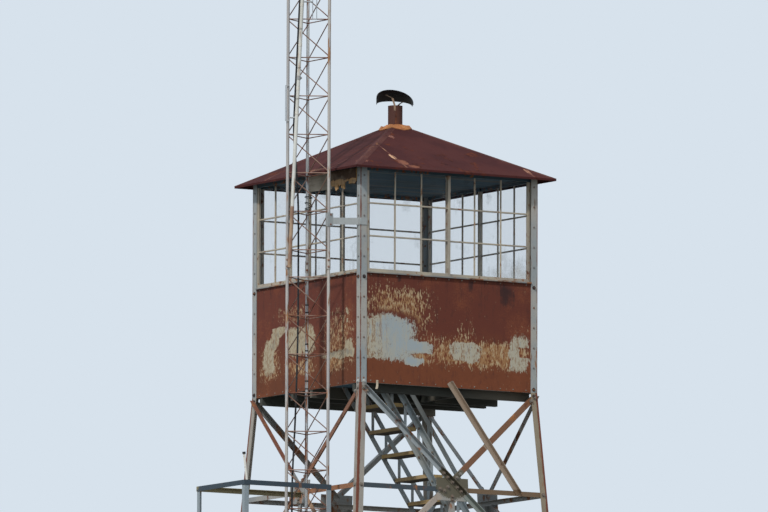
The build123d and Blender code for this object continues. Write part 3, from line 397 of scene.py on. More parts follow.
class Shape:
    """Collects the faces of one piece before it becomes an object."""

    def __init__(self) -> None:
        """Starts with nothing."""
        self.points: list[Vector] = []
        self.faces: list[tuple[int, ...]] = []
        self.finishes: list[int] = []

    def loft(self, rings: Sequence[Sequence[Vector]], finish: int = 0, closed: bool = False) -> None:
        """Joins rings of as many points each, with caps unless the rings close on each other.

        Args:
            rings: The rings in order.
            finish: Index of the material.
            closed: Whether the last ring meets the first.
        """
        start = len(self.points)
        count = len(rings[0])
        for ring in rings:
            self.points.extend(ring)
        pairs = [(index, index + 1) for index in range(len(rings) - 1)]
        if closed:
            pairs.append((len(rings) - 1, 0))
        for low, high in pairs:
            for index in range(count):
                after = (index + 1) % count
                corners = ((low, index), (low, after), (high, after), (high, index))
                self.faces.append(tuple(start + ring * count + place for ring, place in corners))
        if not closed:
            self.faces.append(tuple(start + index for index in reversed(range(count))))
            last = start + (len(rings) - 1) * count
            self.faces.append(tuple(last + index for index in range(count)))
        self.finishes.extend([finish] * (len(self.faces) - len(self.finishes)))

    def prism(self, outline: Sequence[Vector], push: Vector, finish: int = 0) -> None:
        """An outline pushed along a vector."""
        self.loft([list(outline), [point + push for point in outline]], finish)

    def box(self, low: Vector, high: Vector, finish: int = 0) -> None:
        """A block between two corners."""
        corners = ((low.x, low.y), (high.x, low.y), (high.x, high.y), (low.x, high.y))
        self.prism([Vector((x, y, low.z)) for x, y in corners], UP * (high.z - low.z), finish)

    def bar(self, start: Vector, end: Vector, radius: float, sides: int, finish: int = 0) -> None:
        """A round bar between two points."""
        axis = (end - start).normalized()
        self.loft([circle(start, axis, radius, sides), circle(end, axis, radius, sides)], finish)

    def lathe(self, centre: Vector, axis: Vector, profile: Iterable[tuple[float, float]], sides: int,
              finish: int = 0) -> None:
        """A body turned round an axis.

        Args:
            centre: Where the profile's height is 0.
            axis: The way its height grows, of length 1.
            profile: Pairs of height and radius.
            sides: Points in each ring.
            finish: Index of the material.
        """
        self.loft([circle(centre + axis * height, axis, radius, sides) for height, radius in profile], finish)

    def bolt(self, seat: Vector, outward: Vector, across: float, finish: int = 0) -> None:
        """A washer and a chamfered hexagon head on a surface.

        Args:
            seat: Where the bolt meets the surface.
            outward: The way its head looks.
            across: Width of the head across its flats.
            finish: Index of the material.
        """
        thick = across * 0.13
        head = across * 0.62
        radius = across / math.sqrt(3)
        self.lathe(seat, outward, ((-0.001, across * 0.92), (thick, across * 0.92)), 12, finish)
        profile = ((thick, radius), (thick + head * 0.8, radius), (thick + head, radius * 0.82))
        self.lathe(seat, outward, profile, 6, finish)

    def dome(self, seat: Vector, outward: Vector, radius: float, finish: int = 0) -> None:
        """A round fastener head."""
        profile = ((-0.001, radius), (radius * 0.25, radius * 0.93), (radius * 0.5, radius * 0.65),
                   (radius * 0.62, radius * 0.2))
        self.lathe(seat, outward, profile, 10, finish)

    def hoop(self, centre: Vector, axis: Vector, radius: float, wire: float, finish: int = 0) -> None:
        """A closed ring of round wire.

        Args:
            centre: The ring's middle.
            axis: The way the ring faces, of length 1.
            radius: Radius of the ring.
            wire: Radius of the wire.
            finish: Index of the material.
        """
        first, second = square_to(axis)
        stations = 24
        rings = []
        for index in range(stations):
            angle = 2 * math.pi * index / stations
            out = first * math.cos(angle) + second * math.sin(angle)
            along = second * math.cos(angle) - first * math.sin(angle)
            rings.append(circle(centre + out * radius, along, wire, 8))
        self.loft(rings, finish, closed=True)

    def piece(self, name: str, finishes: Sequence[bpy.types.Material],
              nodes: Sequence[str] = ()) -> None:
        """Makes the object, which rides on the tower.

        Args:
            name: The piece's name.
            finishes: Its materials, in the order of their indices.
            nodes: Solids that it stands for.
        """
        mesh = bpy.data.meshes.new(name)
        mesh.from_pydata([tuple(point) for point in self.points], [], self.faces)
        for finish in finishes:
            mesh.materials.append(finish)
        mesh.polygons.foreach_set("material_index", self.finishes)
        work = bmesh.new()
        work.from_mesh(mesh)
        bmesh.ops.recalc_face_normals(work, faces=work.faces)
        work.to_mesh(mesh)
        work.free()
        mesh.shade_smooth()
        mesh.set_sharp_from_angle(angle=SHARP_EDGE)
        made = bpy.data.objects.new(name, mesh)
        bpy.context.scene.collection.objects.link(made)
        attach(made, BODY)
        if nodes:
            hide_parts(*nodes)
        log.info("piece %s has %d faces", name, len(self.faces))


# Finishes

def on_side(graph: Graph, side: Side, place: bpy.types.NodeSocket) -> tuple[Value, Value]:
    """How far across a side, and how high above the cab's foot, each point is.

    Args:
        graph: The graph that gets the nodes.
        side: The side of the tower.
        place: The coordinates that are measured.

    Returns:
        The place across and the height.
    """
    x, y, z = (Value(graph, part) for part in graph.node("ShaderNodeSeparateXYZ", {}, {0: place}).outputs)
    run = side.turn @ Vector((1.0, 0.0, 0.0))
    return x * run.x + y * run.y, z - PLAN.base


def bump_of(graph: Graph, place: Any, centre: Vector, reach: Sequence[float]) -> Value:
    """A soft ellipsoid round a point.

    Args:
        graph: The graph that gets the nodes.
        place: The coordinates that it is measured in.
        centre: Its middle, in metres.
        reach: Its half widths along X, Y and Z.

    Returns:
        1 in the middle and 0 well outside.
    """
    offset = graph.vector("SUBTRACT", place, tuple(centre))
    scaled = graph.vector("MULTIPLY", offset, tuple(1.0 / width for width in reach))
    length = graph.node("ShaderNodeVectorMath", {"operation": "LENGTH"}, {0: scaled}).outputs[1]
    return ((Value(graph, length) ** 3.0) * -1.0).exp()


@dataclass(frozen=True)
class Member:
    """A bar of a braced face with a tone of its own, in metres across and above the cab's foot."""

    start: tuple[float, float]
    end: tuple[float, float]
    tone: str
    reach: float = 0.040
    soft: float = 0.005
    fade: float = 0.020

    def mask(self, graph: Graph, side: Side) -> Value:
        """Where the bar is.

        Args:
            graph: The graph that gets the nodes.
            side: The side of the tower that the bar is on.

        Returns:
            1 on the bar and 0 off it.
        """
        across, rise = on_side(graph, side, graph.place)
        begin = Vector(self.start)
        length = (Vector(self.end) - begin).length
        along = (Vector(self.end) - begin) / length
        across = across - begin.x
        rise = rise - begin.y
        aside = abs(across * along.y - rise * along.x)
        travel = across * along.x + rise * along.y
        ends = travel.step(-self.fade, self.fade).least(travel.step(length + self.fade, length - self.fade))
        return aside.step(self.reach + self.soft, self.reach - self.soft).least(ends)


@dataclass(frozen=True)
class WearOrSunPatch:
    """A worn or stained place on a solid, or a patch of painted sunlight, broken up by the grain."""

    centre: tuple[float, float, float]
    reach: tuple[float, float, float]
    tone: str
    strength: float = 1.0

    def mask(self, graph: Graph, broken: Value) -> Value:
        """Where the mark is.

        Args:
            graph: The graph that gets the nodes.
            broken: The grain that breaks up its edge.

        Returns:
            1 on the mark and 0 off it.
        """
        centre = Vector(self.centre) + UP * PLAN.base
        soft = bump_of(graph, graph.place, centre, self.reach) * self.strength
        return (soft + (broken - 0.5) * 1.2).step(0.40, 0.60)


@dataclass(frozen=True)
class Weathered:
    """Metal with a cloudy ground and rust in upright runs, and a painted shade tone above a given level."""

    name: str
    ground: str
    cloud: str
    rust: str = "#8f5f3e"
    deep: str = "#5a3526"
    share: float = 0.25
    runs: tuple[float, float, float] = (16.0, 16.0, 2.4)
    metal: float = 0.25
    rough: float = 0.55
    relief: float = 0.0006
    gloss: float = 0.4
    heel: float = 0.0
    heel_tone: str = "#6f4031"
    spots: float = 0.0
    rusty_below: float = 0.0
    shade_above: float = 0.0
    shade_tone: str = "#3a4853"
    side: Side = Side.SOUTH
    members: tuple[Member, ...] = ()
    wear_and_sunlight: tuple[WearOrSunPatch, ...] = ()

    def make(self) -> bpy.types.Material:
        """Builds the material.

        Returns:
            The material.
        """
        material, graph = fresh(self.name)
        cloud = graph.noise((2.6, 2.6, 1.8), 5.0, 3.0).step(0.38, 0.62)
        grain = graph.noise((70.0, 70.0, 70.0), 3.0, 9.0)
        runs = graph.noise(self.runs, 6.0, 17.0)
        broad = graph.noise((1.1, 1.1, 0.7), 3.0, 31.0)
        z = graph.axes()[2] - PLAN.base
        level = 0.70 - 0.34 * self.share
        rust = (runs + (broad - 0.5) * 0.45).step(level - 0.06, level + 0.06)
        if self.spots > 0.0:
            rust = rust.most(self.bolt_spots(graph, grain))
        if self.rusty_below > 0.0:
            rust = rust.most((z + (runs - 0.5) * 0.2).step(self.rusty_below + 0.01, self.rusty_below - 0.01))
        tone = graph.blend(self.ground, self.cloud, cloud)
        # Above the given level the ground turns to a dark slate tone: painted shade, not a colour of the
        # metal.
        if self.shade_above != 0.0:
            tone = graph.blend(tone, self.shade_tone, z.step(self.shade_above - 0.001, self.shade_above + 0.001))
        for member in self.members:
            tone = graph.blend(tone, member.tone, member.mask(graph, self.side))
        tone = graph.blend(tone, self.deep, grain.step(0.52, 0.75) * 0.22)
        patches = graph.noise((13.0, 13.0, 7.0), 4.0, 5.0).step(0.40, 0.66)
        colour = graph.blend(tone, graph.blend(self.rust, self.deep, patches), rust)
        if self.heel > 0.0:
            line = self.heel_line(graph, grain)
            colour = graph.blend(colour, self.heel_tone, line)
            rust = rust.most(line)
        # Marks of wear, and on the north rail a patch of painted sunlight.
        for wear_or_sunlight in self.wear_and_sunlight:
            colour = graph.blend(colour, wear_or_sunlight.tone, wear_or_sunlight.mask(graph, grain))
        inputs = {"Base Color": colour, "Roughness": self.rough + 0.3 * rust,
                  "Metallic": self.metal * (1.0 - rust), "Specular IOR Level": self.gloss}
        graph.surface(self.name, inputs, grain * 0.5 + rust * 0.5, self.relief)
        return material

    def heel_line(self, graph: Graph, grain: Value) -> Value:
        """The rusty line along the heel of a leg or post.

        Args:
            graph: The graph that gets the nodes.
            grain: The grain that makes it ragged.

        Returns:
            1 on the line and 0 off it.
        """
        x, y, z = graph.axes()
        half = (PLAN.base - z).most(0.0) * PLAN.batter + PLAN.half
        away = half - abs(x).least(abs(y))
        ragged = away + (grain - 0.5) * 0.014 + (graph.noise((5.0, 5.0, 6.0), 3.0, 41.0) - 0.5) * 0.030
        return ragged.step(self.heel + 0.006, self.heel - 0.006)

    def bolt_spots(self, graph: Graph, grain: Value) -> Value:
        """Rust round the bolts of a corner post, longer below them.

        Args:
            graph: The graph that gets the nodes.
            grain: The grain that makes the spots ragged.

        Returns:
            1 in a spot and 0 outside.
        """
        x, y, z = graph.axes()
        away = PLAN.half - abs(x).least(abs(y)) - Posts.row
        level = (z - PLAN.base - Posts.first + Posts.pitch / 2) % Posts.pitch - Posts.pitch / 2
        drop = level.step(0.0, -0.06)
        reach = (away * away + level * level * (1.0 - 0.75 * drop)) ** 0.5
        return (reach + (grain - 0.5) * 0.012).step(self.spots, self.spots - 0.010)


@dataclass(frozen=True)
class Patch:
    """A worn patch on a panel, a rounded oblong; a strength below 0 takes wear away."""

    across: float
    level: float
    wide: float
    high: float
    strength: float


@dataclass(frozen=True)
class PanelSkin:
    """Rusted sheet with worn pale and tan patches of one side's own."""

    side: Side
    patches: tuple[Patch, ...]
    speckles: tuple[Patch, ...]
    stains: tuple[Patch, ...]
    top: str = "#5f2b1d"
    low: str = "#6f3a1f"
    tan: str = "#a27c53"
    cream: str = "#beb194"
    pale: str = "#a3adb1"
    stain: str = "#2a1314"
    umber: str = "#42201a"
    ginger: str = "#84482a"
    score: str = "#8a6240"
    pit: str = "#7a5a40"
    rim_from: float = 0.52
    streak_to: float = -0.78

    def blob(self, graph: Graph, place: bpy.types.NodeSocket, patch: Patch) -> Value:
        """One patch's strength at each point, on a rounded oblong.

        Args:
            graph: The graph that gets the nodes.
            place: The coordinates that it is measured in.
            patch: The patch.

        Returns:
            The patch's strength in its middle and 0 well outside.
        """
        across, rise = on_side(graph, self.side, place)
        across = (across - patch.across) / patch.wide
        rise = (rise - patch.level) / patch.high
        across = across * across
        rise = rise * rise
        return ((across * across + rise * rise) * -1.0).exp() * patch.strength

    def total(self, graph: Graph, place: bpy.types.NodeSocket, patches: Sequence[Patch]) -> Value:
        """The strength of several patches together.

        Args:
            graph: The graph that gets the nodes.
            place: The coordinates that they are measured in.
            patches: The patches, at least one.

        Returns:
            Their strengths added up.
        """
        blobs = [self.blob(graph, place, patch) for patch in patches]
        found = blobs[0]
        for blob in blobs[1:]:
            found = found + blob
        return found

    def make(self) -> bpy.types.Material:
        """Builds the material.

        Returns:
            The material.
        """
        name = "panel_skin_" + self.side.label
        material, graph = fresh(name)
        wander = graph.node("ShaderNodeTexNoise", {}, {"Vector": graph.place, "Scale": 7.0, "Detail": 5.0})
        shifted = graph.vector("SUBTRACT", wander.outputs[1], (0.5, 0.5, 0.5))
        place = graph.vector("ADD", graph.place, graph.vector("MULTIPLY", shifted, (0.16, 0.16, 0.12)))
        worn = self.total(graph, place, self.patches)
        worn_thin = self.total(graph, place, self.speckles)
        grain = graph.noise((60.0, 60.0, 60.0), 4.0, 2.0)
        mottle = graph.noise((16.0, 16.0, 11.0), 6.0, 7.0)
        runs = graph.noise((34.0, 34.0, 2.2), 5.0, 12.0)
        flecks = graph.noise((84.0, 84.0, 25.0), 4.0, 19.0)
        cloud = graph.noise((3.0, 3.0, 2.4), 4.0, 23.0)
        across, z = on_side(graph, self.side, graph.place)
        aside = across.step(self.streak_to + 0.14, self.streak_to - 0.14).most(across.step(-0.25, 0.05))
        edge = worn + (mottle - 0.5) * 0.85 + (flecks - 0.5) * 0.80
        pale = edge.step(0.42, 0.56)
        speck = worn_thin * 0.46 + (flecks - 0.5) * 1.7 + (mottle - 0.5) * 0.6
        tan = speck.step(0.31, 0.54)
        rim = edge.step(0.20, 0.36) * z.step(self.rim_from, self.rim_from + 0.06)
        tan = tan * (1.0 - rim * 0.9)
        lower = (z + (cloud - 0.5) * 0.7).step(0.62, 0.22)
        brown = graph.blend(self.top, self.low, lower)
        brown = graph.blend(brown, self.umber, (mottle + (runs - 0.5) * 0.7).step(0.50, 0.74) * 0.45)
        brown = graph.blend(brown, self.ginger, (cloud + (grain - 0.5) * 0.5).step(0.50, 0.70) * 0.45)
        drips = ((runs - 0.5) * 1.6 + 0.5 + (z - 1.12) * 1.3).step(0.54, 0.72)
        brown = graph.blend(brown, self.stain, drips * 0.65)
        colour = graph.blend(brown, self.tan, tan * 0.85)
        colour = graph.blend(colour, self.cream, tan * (flecks + (mottle - 0.5) * 0.8).step(0.52, 0.66) * 0.6)
        streaked = flecks * 0.6 + runs * 0.4 + (1.0 - worn) * 0.30 + (cloud - 0.5) * 0.6 + aside * 0.10
        streaks = streaked.step(0.47, 0.63)
        skin = graph.blend(self.pale, self.cream, streaks * (0.40 + aside * 0.30))
        scores = (runs * 0.4 + (1.0 - flecks) * 0.6).step(0.50, 0.58) * aside
        skin = graph.blend(skin, self.score, scores * 0.75)
        pits = (grain * 0.5 + mottle * 0.5 + (1.0 - worn) * 0.15).step(0.58, 0.67)
        skin = graph.blend(skin, self.pit, pits * 0.8)
        colour = graph.blend(colour, skin, pale)
        dark = self.total(graph, place, self.stains) + (mottle - 0.5) * 0.9 + (runs - 0.5) * 0.9
        colour = graph.blend(colour, self.stain, dark.step(0.25, 0.95) * 0.85)
        inputs = {"Base Color": colour, "Roughness": 0.86 - 0.28 * pale, "Metallic": 0.35 * pale}
        graph.surface(name, inputs, grain * 0.5 + pale * 0.5 + mottle * 0.3, 0.0009)
        return material


@dataclass(frozen=True)
class Timber:
    """Weathered boards, with grain along one axis, a tone for each board and an under tone on faces that look
    down, which is painted shade.
    """

    name: str
    top: str
    edge: str
    under: str
    grain: tuple[float, float, float]
    board: tuple[float, float, float]
    dark: str = "#2b2521"
    bleached: str = "#9c9181"
    damp: str = "#3b322a"

    def make(self) -> bpy.types.Material:
        """Builds the material.

        Returns:
            The material.
        """
        material, graph = fresh(self.name)
        up = graph.facing_up()
        grain = graph.noise(self.grain, 6.0, 4.0)
        tone = graph.noise(self.board, 1.0, 14.0)
        wet = graph.noise((1.5, 1.5, 1.5), 4.0, 27.0)
        colour = graph.blend(self.edge, self.top, up.step(0.4, 0.7))
        # Faces that look down take the under tone: painted shade under the boards.
        colour = graph.blend(colour, self.under, up.step(-0.4, -0.7))
        colour = graph.blend(colour, self.dark, grain.step(0.48, 0.72) * 0.55)
        colour = graph.blend(colour, self.bleached, tone.step(0.50, 0.66) * 0.30)
        colour = graph.blend(colour, self.damp, wet.step(0.50, 0.68) * 0.45)
        inputs = {"Base Color": colour, "Roughness": 0.78 + 0.18 * grain}
        graph.surface(self.name, inputs, grain, 0.0012)
        return material


@dataclass(frozen=True)
class Glazing:
    """Dusty window glass, hazier low down and most at the east end of the south side."""

    name: str = "window_glass"
    clear: float = 0.05
    dusty: float = 0.36

    def make(self) -> bpy.types.Material:
        """Builds the material.

        Returns:
            The material.
        """
        material, graph = fresh(self.name)
        x, y, z = graph.axes()
        dust = graph.noise((3.2, 3.2, 4.2), 5.0, 6.0)
        drips = graph.noise((26.0, 26.0, 1.6), 4.0, 18.0)
        low = (z - PLAN.base).step(1.62, 1.20)
        right = x.step(0.30, 0.80) * y.step(-0.90, -1.00)
        veil = (dust + (drips - 0.5) * 0.30 + 0.04 * low + 0.30 * low * right).step(0.58, 0.92)
        colour = graph.blend("#3d5263", "#a9a79d", veil)
        alpha = self.clear + (self.dusty - self.clear) * veil
        inputs = {"Base Color": colour, "Roughness": 0.06 + 0.35 * veil, "Alpha": alpha, "IOR": 1.5}
        graph.surface(self.name, inputs, dust, 0.0008)
        material.surface_render_method = "BLENDED"
        return material


@dataclass(frozen=True)
class StubPaint:
    """White paint on the railing's stub pipe, under a black knob."""

    name: str = "stub_paint"
    knob: float = 16.1865

    def make(self) -> bpy.types.Material:
        """Builds the material.

        Returns:
            The material.
        """
        material, graph = fresh(self.name)
        z = graph.axes()[2]
        chips = graph.noise((60.0, 60.0, 30.0), 5.0, 8.0).step(0.58, 0.66)
        colour = graph.blend("#d9d8d2", "#7d5a44", chips)
        colour = graph.blend(colour, "#15161a", z.step(self.knob - 0.0005, self.knob + 0.0005))
        inputs = {"Base Color": colour, "Roughness": 0.45 + 0.3 * chips}
        graph.surface(self.name, inputs, chips, -0.0004)
        return material


SOUTH_MEMBERS = (
    Member((-1.068, -0.018), (-0.130, -0.865), "#a4adb2"),
    Member((1.068, -0.018), (0.130, -0.865), "#7e5a44"),
    Member((0.0, 0.048), (0.795, -1.064), "#a69584"),
    Member((-1.140, -1.056), (-0.160, -1.056), "#414b53"),
    Member((0.160, -1.056), (1.140, -1.056), "#75604b"),
    Member((-0.150, -1.117), (-1.212, -2.076), "#a99e94"),
    Member((0.150, -1.117), (1.212, -2.076), "#949d98"),
)
WEST_MEMBERS = (
    Member((1.068, -0.018), (0.130, -0.865), "#835c48"),
    Member((-1.068, -0.018), (-0.130, -0.865), "#85594a"),
    Member((0.160, -1.056), (1.140, -1.056), "#94684b"),
    Member((-0.150, -1.117), (-1.212, -2.076), "#8a6f5c"),
    Member((0.150, -1.117), (1.212, -2.076), "#a98f78"),
)
SEAM_PLACES = {
    Side.SOUTH: ((-0.590, 1.2), (-0.280, 0.43), (0.945, 1.2)), Side.WEST: ((-0.610, 1.2), (0.640, 1.2)),
    Side.NORTH: ((-0.620, 1.2), (0.610, 1.2)), Side.EAST: ((-0.590, 1.2), (0.650, 1.2)),
}
ROOF_SCUFFS = (
    WearOrSunPatch((-0.600, -0.925, 2.353), (0.030, 0.085, 0.060), "#c79f80", 1.0),
    WearOrSunPatch((-0.560, -1.060, 2.285), (0.075, 0.110, 0.070), "#7f5343", 0.75),
    WearOrSunPatch((-0.480, -1.150, 2.239), (0.080, 0.050, 0.040), "#7a4f40", 0.75),
    WearOrSunPatch((0.945, -1.060, 2.285), (0.030, 0.120, 0.070), "#a87f68", 0.75),
    WearOrSunPatch((-0.280, -0.360, 2.641), (0.050, 0.080, 0.060), "#92685c", 0.60),
    WearOrSunPatch((-1.060, -1.060, 2.285), (0.110, 0.110, 0.060), "#8a5c50", 0.60),
    WearOrSunPatch((-1.150, -0.300, 2.239), (0.060, 0.300, 0.040), "#8f6a58", 0.55),
)
GUSSET_SCUFF = WearOrSunPatch((0.0, -1.140, -0.980), (0.190, 0.100, 0.160), "#625d4e", 1.8)


class Finishes:
    """Every finish of the tower, made once."""

    def __init__(self) -> None:
        """Makes the materials."""
        steel = {"rust": "#96643f", "deep": "#5c3a2a"}
        leg = {"heel": 0.022, **steel}
        brace = {"ground": "#8b8f90", "cloud": "#9c9a95", "runs": (9.0, 9.0, 6.0), **steel}
        bolt = {"runs": (18.0, 18.0, 18.0), **steel}
        low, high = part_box("balcony_railing")
        # The top 52 mm of the railing takes the dark slate tone: painted shade on the top rails.
        shade_from = high.z - 0.052 - PLAN.base
        # A tan tone along the north top rail: painted sunlight, not wear.
        rail_middle = ((low.x + high.x) / 2, high.y, high.z - PLAN.base)
        sunlit_north_rail = WearOrSunPatch(rail_middle, ((high.x - low.x) / 2, 0.10, 0.10), "#8f8769", 1.8)
        self.leg = Weathered("leg_steel", "#999690", "#a9a196", share=0.18, **leg).make()
        self.dull_leg = Weathered("dull_leg_steel", "#887d69", "#978b77", share=0.30, **leg).make()
        self.post = Weathered("post_steel", "#979fa2", "#aaa8a2", share=0.12, heel=0.008, spots=0.015,
                              **steel).make()
        self.brace = Weathered("brace_steel", share=0.34, **brace).make()
        self.south_brace = Weathered("south_brace_steel", share=0.26, members=SOUTH_MEMBERS,
                                     wear_and_sunlight=(GUSSET_SCUFF,), **brace).make()
        self.west_brace = Weathered("west_brace_steel", share=0.30, side=Side.WEST, members=WEST_MEMBERS,
                                    **brace).make()
        self.stair = Weathered("stair_steel", "#96a3aa", "#a4a9a8", share=0.14, **steel).make()
        self.rail = Weathered("rail_steel", "#8e9ba3", "#9aa4a9", share=0.10, shade_above=shade_from,
                              wear_and_sunlight=(sunlit_north_rail,), **steel).make()
        self.base = Weathered("base_steel", "#858785", "#95948e", share=0.45, runs=(7.0, 7.0, 7.0),
                              **steel).make()
        # The sashes' slate tone above 2.178 m is painted shade of the eave on their head rails.
        self.sash = Weathered("sash_steel", "#a39c90", "#b2a997", share=0.28, runs=(22.0, 22.0, 14.0),
                              shade_above=2.178, shade_tone="#3f5764").make()
        self.sill = Weathered("sill_steel", "#85898a", "#9a978f", share=0.45, runs=(12.0, 12.0, 18.0)).make()
        # The head plates' slate is blue-grey paint darkened as painted shade of the eave.
        self.head = Weathered("head_paint_and_shade", "#56646e", "#66747d", share=0.14, metal=0.1).make()
        self.roof = Weathered("roof_sheet", "#412223", "#4b2827", "#5c3023", "#2f1b1d", share=0.22,
                              runs=(7.0, 7.0, 5.0), metal=0.0, rough=0.90, relief=0.0012, gloss=0.12,
                              wear_and_sunlight=ROOF_SCUFFS).make()
        self.hip = Weathered("hip_strip", "#4a2a29", "#5a3833", "#7a5443", "#332022", share=0.24,
                             runs=(16.0, 16.0, 16.0), metal=0.0, rough=0.85, gloss=0.15).make()
        self.seam = Weathered("seam_edge", "#5c3631", "#744b41", "#96705a", "#3f2625", share=0.30,
                              runs=(8.0, 8.0, 8.0), metal=0.0, rough=0.80, gloss=0.2).make()
        self.pipe = Weathered("vent_pipe", "#4d302a", "#5c3c32", "#7c4930", "#2e1d1c", share=0.35, metal=0.05,
                              rough=0.7, gloss=0.25).make()
        # The hood's near-black colour is painted shade of its underside.
        self.cap = Weathered("vent_cap", "#191c23", "#24272e", "#4d382e", "#121419", share=0.10, metal=0.2,
                             gloss=0.25).make()
        self.strap = Weathered("cap_strap", "#8d7461", "#9c8570", "#7c4a36", "#4a2c24", share=0.30).make()
        self.strip = Weathered("panel_strip", "#b9ad98", "#c3b8a4", "#8f6a4e", "#5d3f30", share=0.20).make()
        self.collar = Weathered("vent_collar", "#a46941", "#bd8550", "#cf9158", "#6a3c2a", share=0.50,
                                runs=(24.0, 24.0, 24.0), metal=0.0, rough=0.75, relief=0.003).make()
        self.tube = Weathered("mast_tube", "#a5a4a5", "#b3b0ac", "#9c7452", "#74523e", share=0.26,
                              runs=(26.0, 26.0, 5.0), metal=0.2, rough=0.55).make()
        # The middle tube's ground is lighter and bluer than the other tubes' to offset the shade they cast on
        # it: painted light; its heavier rust is real.
        self.lit_rusty_tube = Weathered("lit_rusty_tube", "#b3bcc4", "#c0c3c4", "#925f40", "#6a4433", share=0.34,
                                   runs=(20.0, 20.0, 3.0), metal=0.1, rough=0.6).make()
        self.rod = Weathered("mast_rod", "#806559", "#917568", "#784a3a", "#4f3029", share=0.40,
                             runs=(5.0, 5.0, 4.0), metal=0.1, rough=0.65).make()
        self.bracket = Weathered("bracket_steel", "#9aa0a2", "#aab0b1", share=0.20).make()
        self.pole = Weathered("pole_steel", "#d0d2ce", "#bfc0ba", "#a58d76", "#86695a", share=0.12,
                              runs=(20.0, 20.0, 2.5), metal=0.1, rough=0.5, rusty_below=1.80).make()
        self.aluminium = Weathered("loop_tube", "#b9bdc0", "#a9adb0", "#8c8f92", "#6f7276", share=0.25,
                                   runs=(40.0, 40.0, 12.0), metal=0.75, rough=0.38, relief=0.0002).make()
        self.bolt = Weathered("bolt_steel", "#87857f", "#756a60", share=0.25, **bolt).make()
        self.dull_bolt = Weathered("dull_bolt", "#767d82", "#7b6f68", share=0.20, **bolt).make()
        self.dark_bolt = Weathered("dark_bolt", "#393436", "#4c3f3b", share=0.30, **bolt).make()
        self.clean_bolt = Weathered("clean_bolt", "#b9bcba", "#a3a4a0", share=0.25,
                                    runs=(18.0, 18.0, 18.0)).make()
        self.rubber = Weathered("cable_jacket", "#17181b", "#24262a", "#3a3733", "#0f1012", share=0.20,
                                runs=(50.0, 50.0, 9.0), metal=0.0, rough=0.6, relief=0.0003).make()
        self.tape = Weathered("pole_tape", "#d3d2cb", "#c2c1ba", "#a39a88", "#6d665c", share=0.15,
                              runs=(40.0, 40.0, 60.0), metal=0.0, rough=0.6).make()
        deck = ("#8d806a", "#8a7653", "#352f2a")
        eastward = (2.5, 30.0, 30.0)
        upright = ((30.0, 3.0, 30.0), (0.8, 6.0, 9.0))
        self.tread = Timber("tread_boards", "#a08a63", "#a88f60", "#3d352d",
                            (30.0, 2.5, 30.0), (6.3, 0.1, 4.0)).make()
        self.decking = Timber("deck_boards", *deck, (2.5, 34.0, 30.0), (0.1, 6.5, 0.4)).make()
        self.balcony = Timber("balcony_boards", *deck, (34.0, 2.5, 30.0), (6.5, 0.1, 0.4)).make()
        # The joists' slate edge and under tones are painted shade under the cab.
        self.frame = Timber("shaded_floor_joists", "#5d5347", "#41443f", "#2f3335", eastward, (0.4, 3.0, 0.4)).make()
        self.inside = Timber("cab_boards", "#6b5c4b", "#57493c", "#466c86", eastward, (0.3, 7.0, 0.3)).make()
        self.plywood = Timber("grey_plywood", "#ada597", "#ada597", "#6b675f",
                              (26.0, 3.0, 30.0), (0.8, 0.8, 0.8)).make()
        self.broken = Timber("broken_boards", "#a98456", "#b08c60", "#4a3524", *upright).make()
        # Dark boards over the upper head boards: painted shadow of the eave.
        self.eave_shadow_boards = Timber("painted_eave_shadow", "#4f3a29", "#4f3a29", "#2c211a", *upright).make()
        self.glass = Glazing().make()
        self.paint = StubPaint().make()


SOUTH_PATCHES = (
    Patch(-0.800, 0.475, 0.42, 0.25, 1.0), Patch(-0.340, 0.390, 0.16, 0.06, 0.9),
    Patch(-0.420, 0.245, 0.10, 0.04, 0.9), Patch(0.205, 0.372, 0.19, 0.115, 0.95),
    Patch(0.850, 0.392, 0.14, 0.20, 0.9), Patch(0.900, 0.405, 0.07, 0.05, -1.0),
)
SOUTH_SPECKLES = (
    Patch(-0.620, 0.760, 0.42, 0.27, 1.05), Patch(0.370, 0.358, 0.68, 0.15, 1.2),
    Patch(0.196, 0.600, 0.13, 0.12, 0.55), Patch(0.880, 0.600, 0.10, 0.08, 0.5),
    Patch(-0.380, 0.300, 0.13, 0.10, 0.8),
)
SOUTH_STAINS = (
    Patch(0.700, 0.985, 0.10, 0.12, 0.9), Patch(-0.600, 1.100, 0.05, 0.05, 0.8),
    Patch(-0.320, 1.100, 0.04, 0.04, 0.6), Patch(0.260, 1.050, 0.05, 0.07, 0.7),
)
WEST_PATCHES = (
    Patch(-0.736, 0.400, 0.13, 0.19, 0.95), Patch(-0.560, 0.650, 0.14, 0.05, 0.85),
    Patch(-0.620, 0.550, 0.11, 0.07, 0.85), Patch(-0.570, 0.400, 0.10, 0.09, -0.9),
    Patch(-0.120, 0.515, 0.30, 0.165, 0.95), Patch(0.620, 0.318, 0.32, 0.045, 0.8),
    Patch(0.840, 0.375, 0.09, 0.10, 0.75), Patch(0.790, 0.742, 0.036, 0.030, 0.9),
    Patch(0.785, 0.665, 0.030, 0.026, 0.8),
)
WEST_SPECKLES = (
    Patch(0.640, 0.480, 0.32, 0.33, 0.85), Patch(-0.280, 0.810, 0.32, 0.10, 0.75),
    Patch(-0.120, 0.240, 0.30, 0.09, 1.0), Patch(-0.720, 0.330, 0.22, 0.20, 0.9),
    Patch(0.560, 0.220, 0.16, 0.07, 0.4),
)
WEST_STAINS = (Patch(0.150, 1.080, 0.20, 0.05, 0.6), Patch(-0.700, 1.040, 0.10, 0.06, 0.4))
NORTH_PATCHES = (
    Patch(-0.45, 0.45, 0.36, 0.20, 0.9), Patch(0.35, 0.38, 0.30, 0.12, 0.8),
    Patch(0.80, 0.60, 0.15, 0.16, 0.8),
)
